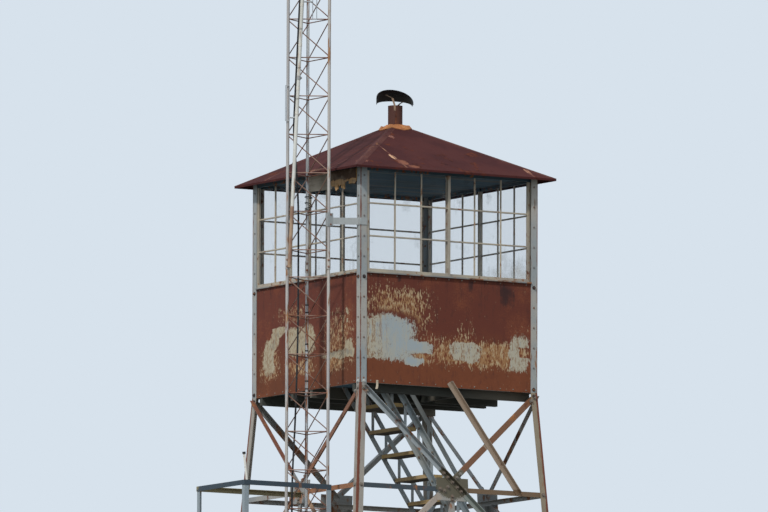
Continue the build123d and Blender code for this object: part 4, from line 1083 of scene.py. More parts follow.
NORTH_SPECKLES = (
    Patch(-0.10, 0.75, 0.55, 0.16, 0.95), Patch(0.20, 0.36, 0.75, 0.16, 1.0),
    Patch(-0.80, 0.70, 0.20, 0.20, 0.8),
)
NORTH_STAINS = (Patch(-0.20, 1.04, 0.20, 0.10, 0.6), Patch(0.70, 1.06, 0.16, 0.08, 0.6))
EAST_PATCHES = (
    Patch(-0.70, 0.36, 0.22, 0.18, 0.9), Patch(0.10, 0.46, 0.34, 0.17, 0.9),
    Patch(0.66, 0.38, 0.24, 0.10, 0.8),
)
EAST_SPECKLES = (
    Patch(0.40, 0.76, 0.44, 0.14, 0.95), Patch(-0.30, 0.66, 0.30, 0.16, 0.8),
    Patch(0.10, 0.34, 0.85, 0.16, 1.0),
)
EAST_STAINS = (Patch(-0.50, 1.04, 0.18, 0.10, 0.6), Patch(0.30, 1.08, 0.12, 0.06, 0.6))


# Sub-assemblies

@dataclass(frozen=True)
class Posts:
    """Bolts down the cab's corner posts."""

    row: float = 0.043
    first: float = 0.253
    pitch: float = 0.208
    count: int = 10
    sill: float = 1.085
    feet: tuple[float, ...] = (-0.036, 0.032)
    clean: float = 0.012
    small: float = 0.011
    large: float = 0.022

    def build(self, finishes: Finishes) -> None:
        """Adds the bolts of the four posts, with clean ones at the foot of the south-west post.

        Args:
            finishes: The tower's finishes.
        """
        shape = Shape()
        for side in Side:
            for x in (self.row - PLAN.half, PLAN.half - self.row):
                for index in range(self.count):
                    level = PLAN.base + self.first + index * self.pitch
                    shape.bolt(side.turn @ Vector((x, -PLAN.half, level)), side.out, self.small)
                corner = side.turn @ Vector((x, -PLAN.half, 0.0))
                tidy = corner.x < 0.0 and corner.y < 0.0
                feet = [(self.clean, 1)] if tidy else [(level, 2) for level in self.feet]
                for level, finish in [(self.sill, 2)] + feet:
                    half = PLAN.half_at(PLAN.base + level)
                    seat = side.turn @ Vector((x, -half, PLAN.base + level))
                    shape.bolt(seat, side.out, self.large, finish)
        skins = [finishes.dull_bolt, finishes.clean_bolt, finishes.dark_bolt]
        shape.piece("post_bolts", skins)


@dataclass(frozen=True)
class Bracing:
    """Bolts of the face bracing, the splices and the feet."""

    end_rows: tuple[float, ...] = (0.050, 0.105)
    gusset_rows: tuple[float, ...] = (0.075, 0.135)
    head: float = 0.024
    splice_rows: tuple[float, ...] = (-0.125, -0.065, 0.065, 0.125)
    splice_in: float = 0.046
    splice_joints: tuple[int, ...] = (2, 4, 6)
    splice_up: float = 0.450
    strut_drop: float = 0.074
    strut_in: float = 0.045
    strut_out: float = 0.150
    tail_drops: tuple[float, ...] = (0.145, 0.180)
    tail_aside: float = -0.005
    anchor: float = 0.165
    anchor_shift: float = 0.038
    anchor_head: float = 0.034
    plate_top: float = 0.020
    stud: Profile = ((-0.018, 0.010), (0.075, 0.010), (0.078, 0.008))
    nut: Profile = ((0.026, 0.0185), (0.044, 0.0185), (0.047, 0.016))
    shoe_rows: tuple[float, ...] = (0.060, 0.115)

    def put(self, shape: Shape, side: Side, across: float, level: float, out: float = 0.0) -> None:
        """A bolt on a side's battered face."""
        shape.bolt(PLAN.on_face(side, across, level, out), PLAN.outward(side), self.head)

    def pair(self, shape: Shape, side: Side, level: float, inset: float) -> None:
        """A bolt at each edge of a side's battered face."""
        for sign in (-1, 1):
            self.put(shape, side, sign * (PLAN.half_at(level) - inset), level)

    def bay_bolts(self, shape: Shape, side: Side, bay: int) -> None:
        """Bolts of one bay on one side.

        Args:
            shape: The shape that gets them.
            side: The side of the tower.
            bay: The bay, counted down from the cab.
        """
        top, foot = PLAN.brace_levels(bay)
        proud = PLAN.brace_thick + PLAN.gap
        for sign, out in ((1, proud), (-1, 0.0)):
            high = Vector((-sign * PLAN.half_at(top), top))
            low = Vector((sign * PLAN.half_at(foot), foot))
            along = (low - high).normalized()
            middle = high + along * (-high.x / along.x)
            for reach in self.end_rows:
                for place in (high + along * reach, low - along * reach):
                    self.put(shape, side, place.x, place.y, out)
            for reach in self.gusset_rows:
                for place in (middle + along * reach, middle - along * reach):
                    self.put(shape, side, place.x, place.y, out)
        centre = PLAN.crossing(bay)
        self.put(shape, side, 0.0, centre, proud)
        strut = centre - self.strut_drop
        for level in [strut] + ([PLAN.girt(bay + 1)] if bay < PLAN.bays - 1 else []):
            self.pair(shape, side, level, self.strut_in)
        for across in (-self.strut_out, self.strut_out):
            self.put(shape, side, across, strut)
        for drop in self.tail_drops:
            self.put(shape, side, self.tail_aside, centre - drop)

    def splice_bolts(self, shape: Shape, side: Side) -> None:
        """Bolts of the leg splices on one side.

        Args:
            shape: The shape that gets them.
            side: The side of the tower.
        """
        for joint in self.splice_joints:
            for row in self.splice_rows:
                self.pair(shape, side, PLAN.joint(joint) + self.splice_up + row, self.splice_in)

    def anchors(self, shape: Shape, side: Side) -> None:
        """The four anchor bolts of one foot, and the shoe bolts on one side.

        Args:
            shape: The shape that gets them.
            side: The side of the tower.
        """
        centre = -PLAN.half_at(self.plate_top) + self.anchor_shift
        for x in (-self.anchor, self.anchor):
            for y in (-self.anchor, self.anchor):
                place = side.turn @ Vector((centre + x, centre + y, self.plate_top))
                shape.lathe(place, UP, self.stud, 12)
                shape.bolt(place, UP, self.anchor_head)
                shape.lathe(place, UP, self.nut, 6)
        for level in self.shoe_rows:
            self.pair(shape, side, level, self.splice_in)

    def build(self, finishes: Finishes) -> None:
        """Adds every bolt of the frame.

        Args:
            finishes: The tower's finishes.
        """
        for side in Side:
            braces = Shape()
            for bay in range(PLAN.bays):
                self.bay_bolts(braces, side, bay)
            braces.piece("brace_bolts_" + side.label, [finishes.bolt])
        splices = Shape()
        feet = Shape()
        for side in Side:
            self.splice_bolts(splices, side)
            self.anchors(feet, side)
        splices.piece("splice_bolts", [finishes.bolt])
        feet.piece("anchor_bolts", [finishes.bolt])


@dataclass(frozen=True)
class Stair:
    """Bolts where the stair's uprights cross its chords."""

    run: float = 0.160
    steps: int = 9
    deck_edge: float = 0.543
    tread: float = 0.190
    inner: float = 0.165
    width: float = 0.628
    upright_in: float = 0.055
    below: float = -0.072
    above: float = 0.224

    def build(self, finishes: Finishes) -> None:
        """Adds the bolts of the eight flights.

        Args:
            finishes: The tower's finishes.
        """
        shape = Shape()
        riser = PLAN.bay / self.steps
        for flight in range(PLAN.bays):
            turn = Matrix.Rotation(math.pi * (flight % 2), 3, "Z")
            head = PLAN.floor - flight * PLAN.bay
            for edge, out in ((-self.inner - self.width, -1.0), (-self.inner, 1.0)):
                face = edge + out * (2 * PLAN.gap + 2 * PLAN.brace_thick)
                for step in range(1, self.steps):
                    x = -self.deck_edge - self.tread + step * self.run + self.upright_in
                    for offset in (self.below, self.above):
                        level = -step * riser + offset
                        if -PLAN.bay + 0.05 < level < -0.06:
                            place = turn @ Vector((x, face, level)) + UP * head
                            shape.bolt(place, turn @ Vector((0.0, out, 0.0)), 0.016)
        shape.piece("stair_bolts", [finishes.bolt])


@dataclass(frozen=True)
class Boards:
    """Separate boards in place of the landings' and the balcony's slabs."""

    width: float = 0.140
    gap: float = 0.007
    ease: float = 0.003
    clear: float = 0.012

    def rows(self, low: float, high: float) -> list[tuple[float, float]]:
        """Edges of the boards that fill a width.

        Args:
            low: Where the first board starts.
            high: Where the last board ends.

        Returns:
            The two edges of each board.
        """
        count = max(1, round((high - low + self.gap) / (self.width + self.gap)))
        pitch = (high - low + self.gap) / count
        return [(low + index * pitch, low + (index + 1) * pitch - self.gap) for index in range(count)]

    def board(self, shape: Shape, low: Vector, high: Vector, turn: Matrix, dice: random.Random) -> None:
        """One board with eased edges, a little out of true with its neighbours.

        Args:
            shape: The shape that gets it.
            low: Its lowest corner.
            high: Its highest corner.
            turn: The turn about the tower's middle.
            dice: Where its slight drop is drawn from.
        """
        ease = self.ease
        drop = dice.uniform(0.0, 0.0025)
        levels = ((ease, low.z), (0.0, low.z + ease), (0.0, high.z - ease - drop), (ease, high.z - drop))
        rings = []
        for inset, level in levels:
            corners = ((low.x + inset, low.y + inset), (high.x - inset, low.y + inset),
                       (high.x - inset, high.y - inset), (low.x + inset, high.y - inset))
            rings.append([turn @ Vector((x, y, level)) for x, y in corners])
        shape.loft(rings)

    def build(self, finishes: Finishes) -> None:
        """Adds the boards of seven landings and of the balcony.

        Args:
            finishes: The tower's finishes.
        """
        dice = random.Random(7)
        landings = Shape()
        for joint in range(1, PLAN.bays):
            top = PLAN.joint(joint) + PLAN.floor_above_joint
            outer = PLAN.half_at(PLAN.girt(joint)) - PLAN.leg_thick - PLAN.gap - PLAN.brace - self.clear
            turn = Matrix.Rotation(math.pi * (1 - joint % 2), 3, "Z")
            for low, high in self.rows(-outer, outer):
                start = Vector((Stair.deck_edge, low, top - PLAN.deck))
                end = Vector((outer - dice.uniform(0.0, 0.008), high, top))
                self.board(landings, start, end, turn, dice)
        landings.piece("landing_boards", [finishes.decking], ["stair_landings"])
        low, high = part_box("balcony_deck")
        deck = Shape()
        for west, east in self.rows(low.x, high.x):
            start = Vector((west, low.y, low.z))
            end = Vector((east, high.y, high.z))
            self.board(deck, start, end, Matrix.Identity(3), dice)
        deck.piece("balcony_boards", [finishes.balcony], ["balcony_deck"])


@dataclass(frozen=True)
class Cab:
    """Window bars, panel fasteners, roof screws and seams, head boards, flashing and hood."""

    stile: float = 0.030
    sash_low: float = 1.1424
    sash_high: float = 2.2118
    sash_half: float = 0.9904
    overlap: float = 0.018
    sash_deep: float = 0.022
    bar_wide: float = 0.018
    bar_in: float = 0.003
    bar_outline: Profile = ((-0.5, 0.0), (-0.31, -1.0), (0.31, -1.0), (0.5, 0.0), (0.31, 1.0), (-0.31, 1.0))
    fastener_pitch: float = 0.156
    fastener_rows: tuple[float, ...] = (0.022, 1.110)
    fastener_in: float = 0.0082
    fastener: float = 0.0075
    eave_half: float = 1.2068
    eave_level: float = 2.210
    rise: float = 0.614
    pitch: float = 0.50878
    sheet: float = -0.0003
    hip_reach: float = 0.062
    lap: Profile = ((-0.006, 0.0), (0.006, 0.0), (0.005, 0.0026), (-0.004, 0.0030))
    screw: float = 0.006
    screw_step: float = 0.140
    screw_up: float = 0.0018
    off_hip: float = 0.034
    eave_row: float = 1.180
    eave_step: float = 0.2
    head_in: float = 0.0084
    head_top: float = 2.205
    hood_bearing: float = math.radians(31.6)

    def window_bar(self, shape: Shape, turn: Matrix, ends: tuple[Vector, Vector], across: Vector,
                   deep: Vector) -> None:
        """A window bar that narrows to both faces of the sash.

        Args:
            shape: The shape that gets it.
            turn: The turn from the south side.
            ends: Its two ends, as on the south side.
            across: The way its width runs.
            deep: Half its depth, as a vector.
        """
        start, end = ends
        rings = []
        for point in (start, end):
            ring = []
            for side, depth in self.bar_outline:
                ring.append(turn @ (point + across * (side * self.bar_wide) + deep * depth))
            rings.append(ring)
        shape.loft(rings)

    def sash_bars(self, shape: Shape, side: Side, left: float, right: float, front: float) -> None:
        """The two upright and two level bars of one sash.

        Args:
            shape: The shape that gets them.
            side: The side of the tower.
            left: The sash's left edge.
            right: Its right edge.
            front: Its outer face, as on the south side.
        """
        low = PLAN.base + self.sash_low + self.stile
        high = PLAN.base + self.sash_high - self.stile
        west = left + self.stile
        east = right - self.stile
        y = front + self.sash_deep / 2
        deep = Vector((0.0, self.sash_deep / 2 - self.bar_in, 0.0))
        for share in (1 / 3, 2 / 3):
            x = west + (east - west) * share
            z = low + (high - low) * share
            upright = (Vector((x, y, low)), Vector((x, y, high)))
            level = (Vector((west, y, z)), Vector((east, y, z)))
            self.window_bar(shape, side.turn, upright, Vector((1.0, 0.0, 0.0)), deep)
            self.window_bar(shape, side.turn, level, UP, deep * 0.96)

    def windows(self, finishes: Finishes) -> None:
        """The bars of all eight sashes.

        Args:
            finishes: The tower's finishes.
        """
        front = -PLAN.half + PLAN.leg_thick + 2 * PLAN.gap
        for side in Side:
            shape = Shape()
            self.sash_bars(shape, side, -self.sash_half, self.overlap, front)
            self.sash_bars(shape, side, -self.overlap, self.sash_half, front + self.sash_deep + PLAN.gap)
            shape.piece("window_bars_" + side.label, [finishes.sash])

    def fasteners(self, finishes: Finishes) -> None:
        """The rows of fasteners along the top and foot of each panel.

        Args:
            finishes: The tower's finishes.
        """
        shape = Shape()
        for side in Side:
            for row in self.fastener_rows:
                for index in range(-6, 7):
                    across = index * self.fastener_pitch
                    place = Vector((across, -PLAN.half + self.fastener_in, PLAN.base + row))
                    shape.dome(side.turn @ place, side.out, self.fastener)
        shape.piece("panel_fasteners", [finishes.bolt])

    def roof_screws(self, finishes: Finishes) -> None:
        """Screws along the hips and the eaves.

        Args:
            finishes: The tower's finishes.
        """
        shape = Shape()
        pitch = self.rise / self.eave_half
        eave = PLAN.base + self.eave_level
        row_level = eave + (self.eave_half - self.eave_row) * pitch
        for side in Side:
            normal = side.turn @ Vector((0.0, -pitch, 1.0)).normalized()
            for index in range(1, 8):
                half = self.eave_half - index * self.screw_step
                level = eave + (self.eave_half - half) * pitch + self.screw_up
                for x in (self.off_hip - half, half - self.off_hip):
                    shape.dome(side.turn @ Vector((x, -half, level)), normal, self.screw)
            for index in range(-5, 6):
                place = Vector((index * self.eave_step, -self.eave_row, row_level))
                shape.dome(side.turn @ place, normal, self.screw)
        shape.piece("roof_screws", [finishes.hip])

    def head_board(self, shape: Shape, outline: Profile, out: float, thick: float, finish: int = 0) -> None:
        """One board over the head of the west windows.

        Args:
            shape: The shape that gets it.
            outline: Pairs of the place northward and the height above the cab's foot.
            out: How far its back stands out from the head.
            thick: Its thickness.
            finish: Index of the material.
        """
        face = -PLAN.half + self.head_in - out
        points = [Vector((face, y, PLAN.base + level)) for y, level in outline]
        shape.prism(points, Vector((-thick, 0.0, 0.0)), finish)

    def head_boards(self, finishes: Finishes) -> None:
        """The plywood and the broken boards at the head of the west windows, with a dark second row over
        their upper part whose colour is painted shadow of the eave.

        Args:
            finishes: The tower's finishes.
        """
        dice = random.Random(11)
        top = self.head_top
        plywood = Shape()
        outline = ((-0.510, 2.030), (-0.030, 2.042), (-0.034, top), (-0.508, top))
        self.head_board(plywood, outline, PLAN.gap, 0.009)
        plywood.piece("head_plywood", [finishes.plywood])
        broken = Shape()
        edge = -0.985
        while edge < -0.525:
            wide = dice.uniform(0.045, 0.095)
            foot = 2.010 + dice.uniform(0.0, 0.075)
            far = edge + wide - 0.004
            left = foot + dice.uniform(-0.02, 0.02)
            middle = foot + dice.uniform(-0.03, 0.02)
            right = foot + dice.uniform(-0.02, 0.02)
            outline = ((edge, left), (edge + wide * 0.5, middle), (far, right), (far, top), (edge, top))
            self.head_board(broken, outline, PLAN.gap, 0.014 + dice.uniform(0.0, 0.004))
            # A dark board in front of the upper part: painted shadow of the eave.
            left = 2.095 + dice.uniform(0.0, 0.03)
            right = 2.095 + dice.uniform(0.0, 0.03)
            self.head_board(broken, ((edge, left), (far, right), (far, top), (edge, top)), 0.019, 0.007, 1)
            edge += wide
        broken.piece("head_boards", [finishes.broken, finishes.eave_shadow_boards])

    def roof_height(self, x: float, y: float) -> float:
        """Height of the roof's outer face at a place in plan."""
        return PLAN.base + self.eave_level + (self.eave_half - max(abs(x), abs(y))) * self.pitch + self.sheet

    def collar(self, finishes: Finishes) -> None:
        """The crumpled flashing and sealant round the foot of the ventilator pipe.

        Args:
            finishes: The tower's finishes.
        """
        dice = random.Random(5)
        waves = [(dice.uniform(0.0, 6.28), harmonic) for harmonic in (3, 5, 8, 13)]
        count = 60
        rings = []
        for index in range(count):
            angle = 2 * math.pi * index / count
            swing = sum(math.sin(angle * harmonic + phase) for phase, harmonic in waves) / 4
            ripple = 0.5 + 0.5 * math.sin(angle * 9 + 3 * swing)
            out = Vector((math.cos(angle), math.sin(angle), 0.0))
            ring = []
            upper = ((0.0752, 0.036), (0.094, 0.040 + 0.010 * ripple), (0.120, 0.020 + 0.006 * swing))
            rim = ((0.148, 0.026 + 0.008 * ripple), (0.172 + 0.008 * swing, 0.010), (0.168, -0.001))
            under = ((0.120, 0.0), (0.0752, 0.0))
            for reach, lift in upper + rim + under:
                place = out * reach
                level = min(self.roof_height(place.x, place.y) + lift, PLAN.base + 2.803 + 0.004 * ripple)
                ring.append(place + UP * level)
            rings.append(ring)
        shape = Shape()
        shape.loft(rings, closed=True)
        shape.piece("collar_flashing", [finishes.collar], ["vent_collar"])

    def hood(self, finishes: Finishes) -> None:
        """The dark arched hood over the pipe, lower at its far end, and its bent straps.

        Args:
            finishes: The tower's finishes.
        """
        away = Vector((math.sin(self.hood_bearing), math.cos(self.hood_bearing), 0.0))
        right = Vector((away.y, -away.x, 0.0))

        def place(across: float, deep: float, level: float) -> Vector:
            """A point of the hood from its own measures."""
            return right * across + away * deep + UP * (PLAN.base + level)

        shape = Shape()
        stations = 13
        arc = 28
        rings = []
        for station in range(stations):
            share = station / (stations - 1)
            deep = -0.150 + 0.300 * share
            middle = -0.004 - 0.006 * share
            half = 0.192 - 0.006 * share
            chord = 3.033 - 0.006 * share
            rise = 0.120 - 0.074 * share ** 0.8
            tilt = -0.150 + 0.10 * share
            sheets = []
            for inset in (0.0, 0.004):
                line = []
                for step in range(arc + 1):
                    turn = math.pi * step / arc
                    across = -math.cos(turn) * (half - inset)
                    lift = (rise - inset) * math.sin(turn) ** 0.82
                    line.append(place(middle + across, deep, chord + tilt * across + lift))
                sheets.append(line)
            rings.append(sheets[0] + sheets[1][::-1])
        shape.loft(rings)
        straps = (
            (-1.0, ((-0.097, 3.112), (-0.030, 3.080), (-0.006, 3.004), (-0.004, 2.950))),
            (1.0, ((0.086, 3.060), (0.050, 3.040), (0.012, 3.004), (0.010, 2.950))),
        )
        for sign, bends in straps:
            corners = ((-0.010, 0.0755), (0.010, 0.0755), (0.010, 0.0785), (-0.010, 0.0785))
            rings = []
            for across, level in bends:
                rings.append([place(across + side, deep * sign, level) for side, deep in corners])
            shape.loft(rings, 1)
            shape.dome(place(bends[-1][0], 0.0785 * sign, 2.968), away * sign, 0.007, 1)
        shape.piece("vent_hood", [finishes.cap, finishes.strap], ["vent_cap"])

    def seams(self, finishes: Finishes) -> None:
        """The lapped edges of the roof sheets, from the hips down to the eaves.

        Args:
            finishes: The tower's finishes.
        """
        shape = Shape()
        for side in Side:
            for across, lower in SEAM_PLACES[side]:
                rings = []
                for y in (abs(across) + self.hip_reach, lower):
                    level = self.roof_height(0.0, y)
                    rings.append([side.turn @ Vector((across + x, -y, level + lift)) for x, lift in self.lap])
                shape.loft(rings)
        shape.piece("roof_seams", [finishes.seam])

    def panel_strip(self, finishes: Finishes) -> None:
        """The small bent strip that hangs from the foot of the south panel.

        Args:
            finishes: The tower's finishes.
        """
        shape = Shape()
        west, front = -0.878, -PLAN.half + 0.0050
        bends = ((0.030, 0.004, 0.0), (0.0, 0.004, 0.0), (-0.022, 0.003, -0.003),
                 (-0.044, -0.004, -0.010), (-0.064, -0.018, -0.020))
        rings = []
        for level, shift, out in bends:
            corners = ((0.0, 0.0), (0.026, 0.0), (0.026, -0.0022), (0.0, -0.0022))
            rings.append([Vector((west + shift + x, front + out + y, PLAN.base + level)) for x, y in corners])
        shape.loft(rings)
        shape.dome(Vector((west + 0.017, front - 0.0022, PLAN.base + 0.016)), Side.SOUTH.out, 0.006)
        shape.piece("panel_strip", [finishes.strip])

    def build(self, finishes: Finishes) -> None:
        """Adds every piece of the cab.

        Args:
            finishes: The tower's finishes.
        """
        self.windows(finishes)
        self.fasteners(finishes)
        self.roof_screws(finishes)
        self.head_boards(finishes)
        self.collar(finishes)
        self.hood(finishes)
        self.seams(finishes)
        self.panel_strip(finishes)


@dataclass(frozen=True)
class Mast:
    """The lattice mast: round tubes, rods, sleeves, ties, cable hoops, a clamp box and the foot."""

    side: float = 0.422
    face_x: float = -1.345
    centre_y: float = -0.684
    tube: float = 0.016
    rod: float = 0.0055
    end: float = 0.140
    steps: int = 7
    section: float = 3.048
    first: float = -1.836
    weld_step: float = 0.014
    ties: tuple[float, ...] = (0.821, 0.745, 0.419, 0.351, 0.040, -0.040)
    loops: tuple[tuple[float, float], ...] = ((1.790, 0.35), (1.825, -0.25), (1.860, 0.45), (1.930, 0.15))
    clamp: float = 1.663
    plate_reach: float = 0.304
    plate_thick: float = 0.010
    boot: Profile = ((0.0, 0.022), (0.012, 0.018), (0.018, 0.0162))
    sleeve: Profile = ((-0.062, 0.0165), (-0.058, 0.0205), (0.058, 0.0205), (0.062, 0.0165))
    tie: Profile = ((-0.006, 0.0163), (-0.005, 0.0184), (0.005, 0.0184), (0.006, 0.0163))

    def corners(self) -> list[Vector]:
        """Where the three tubes stand.

        Returns:
            Plan places of the outer, right and middle tubes.
        """
        deep = self.side * math.sqrt(3) / 2
        outer = Vector((self.face_x - deep, self.centre_y, 0.0))
        right = Vector((self.face_x, self.centre_y - self.side / 2, 0.0))
        return [outer, right, Vector((self.face_x, self.centre_y + self.side / 2, 0.0))]

    def rods(self, shape: Shape, low: float) -> None:
        """The level rods and diagonals of one section, with their welds.

        Args:
            shape: The shape that gets them.
            low: The height of the section's foot.
        """
        pitch = (self.section - 2 * self.end) / self.steps
        levels = [low + self.end + step * pitch for step in range(self.steps + 1)]
        weld = ((self.tube * 0.7, 0.010), (self.tube * 1.15, 0.0085), (self.tube * 1.6, 0.0056))
        corners = self.corners()
        for index, corner in enumerate(corners):
            other = corners[(index + 1) % 3]
            runs = [(level, level) for level in levels]
            runs += [(high - self.weld_step, foot + self.weld_step) for foot, high in zip(levels, levels[1:])]
            for start, end in runs:
                first = corner + UP * start
                second = other + UP * end
                shape.bar(first, second, self.rod, 8, 1)
                along = (second - first).normalized()
                for place, way in ((first, along), (second, -along)):
                    shape.lathe(place, way, weld, 8, 1)

    def foot(self, shape: Shape) -> float:
        """The mast's plate, with its bolts.

        Args:
            shape: The shape that gets it.

        Returns:
            The height of the plate's top.
        """
        corners = self.corners()
        centre = (corners[0] + corners[1] + corners[2]) / 3
        low = PLAN.joint(1) + PLAN.floor_above_joint + PLAN.gap
        outline = []
        for toward in (0, 120, 240):
            for swing in (-22, 22):
                angle = math.radians(toward + swing)
                away = Vector((-math.cos(angle), math.sin(angle), 0.0))
                outline.append(centre + away * self.plate_reach + UP * low)
        shape.prism(outline, UP * self.plate_thick, 1)
        for corner in corners:
            away = (corner - centre).normalized()
            aside = UP.cross(away)
            for sign in (-1, 1):
                place = centre + away * (self.plate_reach - 0.085) + aside * (sign * 0.062)
                shape.bolt(place + UP * (low + self.plate_thick), UP, 0.022, 1)
        return low + self.plate_thick

    def build(self, finishes: Finishes) -> None:
        """Adds the mast.

        Args:
            finishes: The tower's finishes.
        """
        shape = Shape()
        foot = self.foot(shape)
        top = PLAN.base + self.first + 2 * self.section
        outer, right, middle = self.corners()
        toward = Vector((-0.50, -0.866, 0.0))
        for corner, skin in ((outer, 0), (right, 0), (middle, 2)):
            shape.bar(corner + UP * foot, corner + UP * top, self.tube, 20, skin)
            shape.lathe(corner + UP * foot, UP, self.boot, 16, 1)
            for joint in (PLAN.base + self.first, PLAN.base + self.first + self.section):
                shape.lathe(corner + UP * joint, UP, self.sleeve, 20)
                for level in (-0.034, 0.034):
                    shape.bolt(corner + toward * 0.0203 + UP * (joint + level), toward, 0.013, 1)
        for index in range(2):
            self.rods(shape, PLAN.base + self.first + index * self.section)
        for level in self.ties:
            shape.lathe(middle + UP * (PLAN.base + level), UP, self.tie, 16, 3)
        for level, tilt in self.loops:
            centre = middle + Vector((0.012, -0.006, PLAN.base + level))
            shape.hoop(centre, Vector((math.sin(tilt), 0.0, math.cos(tilt))), 0.038, 0.0045, 3)
        clamp = right + UP * (PLAN.base + self.clamp)
        shape.box(clamp - Vector((0.020, 0.022, 0.067)), clamp + Vector((0.040, 0.022, 0.067)), 4)
        for level in (-0.050, 0.050):
            shape.bolt(clamp + Vector((0.012, -0.022, level)), Side.SOUTH.out, 0.012, 1)
        skins = [finishes.tube, finishes.rod, finishes.lit_rusty_tube, finishes.rubber, finishes.bracket]
        shape.piece("mast_lattice", skins, ["mast"])


@dataclass(frozen=True)
class Cable:
    """The feed cable in its thick wrap."""

    wrap: float = 0.0045

    def build(self, finishes: Finishes) -> None:
        """Adds the wrapped cable in place of the slim one.

        Args:
            finishes: The tower's finishes.
        """
        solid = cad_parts["feed_cable"]
        work = bmesh.new()
        work.from_mesh(solid.data)
        bmesh.ops.remove_doubles(work, verts=work.verts, dist=0.0002)
        work.normal_update()
        work.verts.index_update()
        shape = Shape()
        shape.points = [solid.matrix_world @ (vert.co + vert.normal * self.wrap) for vert in work.verts]
        shape.faces = [tuple(vert.index for vert in face.verts) for face in work.faces]
        shape.finishes = [0] * len(shape.faces)
        work.free()
        shape.piece("cable_wrap", [finishes.rubber], ["feed_cable"])


@dataclass(frozen=True)
class Pole:
    """Marks, ties and a clamp on the leaning antenna pole."""

    lean: float = 0.044
    foot: float = 1.167
    from_leg: float = 0.0213
    off_face: float = 0.0305
    tapes: tuple[float, ...] = (3.868, 3.453, 3.006, 2.753)
    ties: tuple[float, ...] = (4.10, 3.62, 3.22, 2.90)
    clamp: float = 3.115
    tape: Profile = ((-0.017, 0.0192), (-0.016, 0.0204), (0.016, 0.0204), (0.017, 0.0192))
    band: Profile = ((-0.020, 0.0192), (-0.020, 0.0225), (0.020, 0.0225), (0.020, 0.0192))

    def run(self) -> Vector:
        """The way from the mast's outer tube to its right one."""
        outer, right, _ = Mast().corners()
        return (right - outer).normalized()

    def place(self, level: float) -> Vector:
        """A point on the pole's middle line.

        Args:
            level: Its height above the cab's foot.

        Returns:
            The point.
        """
        run = self.run()
        out = Vector((run.y, -run.x, 0.0))
        along = self.from_leg + self.lean * (level - self.foot)
        return Mast().corners()[0] + run * along + out * self.off_face + UP * (PLAN.base + level)

    def build(self, finishes: Finishes) -> None:
        """Adds the tape, the ties and the clamp.

        Args:
            finishes: The tower's finishes.
        """
        axis = (self.place(4.0) - self.place(2.0)).normalized()
        run = self.run()
        shape = Shape()
        for level in self.tapes:
            shape.lathe(self.place(level), axis, self.tape, 20)
        for level in self.ties:
            shape.hoop(self.place(level) - run * 0.0064, axis, 0.0262, 0.0016, 1)
        place = self.place(self.clamp)
        shape.lathe(place, axis, self.band, 20, 2)
        shape.bolt(place + run * 0.0222, run, 0.018, 2)
        shape.piece("pole_marks", [finishes.tape, finishes.rubber, finishes.bracket])


# Dress of the carried-over solids

def dress(finishes: Finishes) -> None:
    """Gives each solid that stays its finish.

    Args:
        finishes: The tower's finishes.
    """
    by_finish = {
        finishes.leg: ("leg_south_west", "leg_north_west", "leg_north_east"),
        finishes.dull_leg: ("leg_south_east",),
        finishes.post: ("corner_posts",),
        finishes.south_brace: ("bracing_south",),
        finishes.west_brace: ("bracing_west",),
        finishes.brace: ("bracing_north", "bracing_east", "landing_beams", "balcony_frame"),
        finishes.stair: ("stair_stringers", "stair_handrails"),
        finishes.rail: ("balcony_railing",),
        finishes.base: ("base_plates", "leg_splices", "panel_frames"),
        finishes.sash: ("windows_south", "windows_west", "windows_north", "windows_east"),
        finishes.sill: ("window_sills",),
        finishes.head: ("head_plates",),
        finishes.roof: ("roof_sheets",),
        finishes.hip: ("hip_caps",),
        finishes.pipe: ("vent_pipe",),
        finishes.bracket: ("mast_brackets",),
        finishes.pole: ("antenna_pole",),
        finishes.aluminium: ("antenna_loops",),
        finishes.tread: ("stair_treads",),
        finishes.frame: ("floor_frame",),
        finishes.inside: ("cab_floor", "ceiling"),
        finishes.glass: ("window_glass",),
        finishes.paint: ("railing_pipe",),
        PanelSkin(Side.SOUTH, SOUTH_PATCHES, SOUTH_SPECKLES, SOUTH_STAINS).make(): ("panel_south",),
        PanelSkin(Side.WEST, WEST_PATCHES, WEST_SPECKLES, WEST_STAINS, low="#613219", pale="#958f80",
                  streak_to=1.5).make(): ("panel_west",),
        PanelSkin(Side.NORTH, NORTH_PATCHES, NORTH_SPECKLES, NORTH_STAINS).make(): ("panel_north",),
        PanelSkin(Side.EAST, EAST_PATCHES, EAST_SPECKLES, EAST_STAINS).make(): ("panel_east",),
    }
    for finish, names in by_finish.items():
        for name in names:
            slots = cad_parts[name].material_slots
            if slots:
                for slot in slots:
                    slot.material = finish
            else:
                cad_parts[name].data.materials.append(finish)
            log.info("solid %s wears %s", name, finish.name)


# Stage

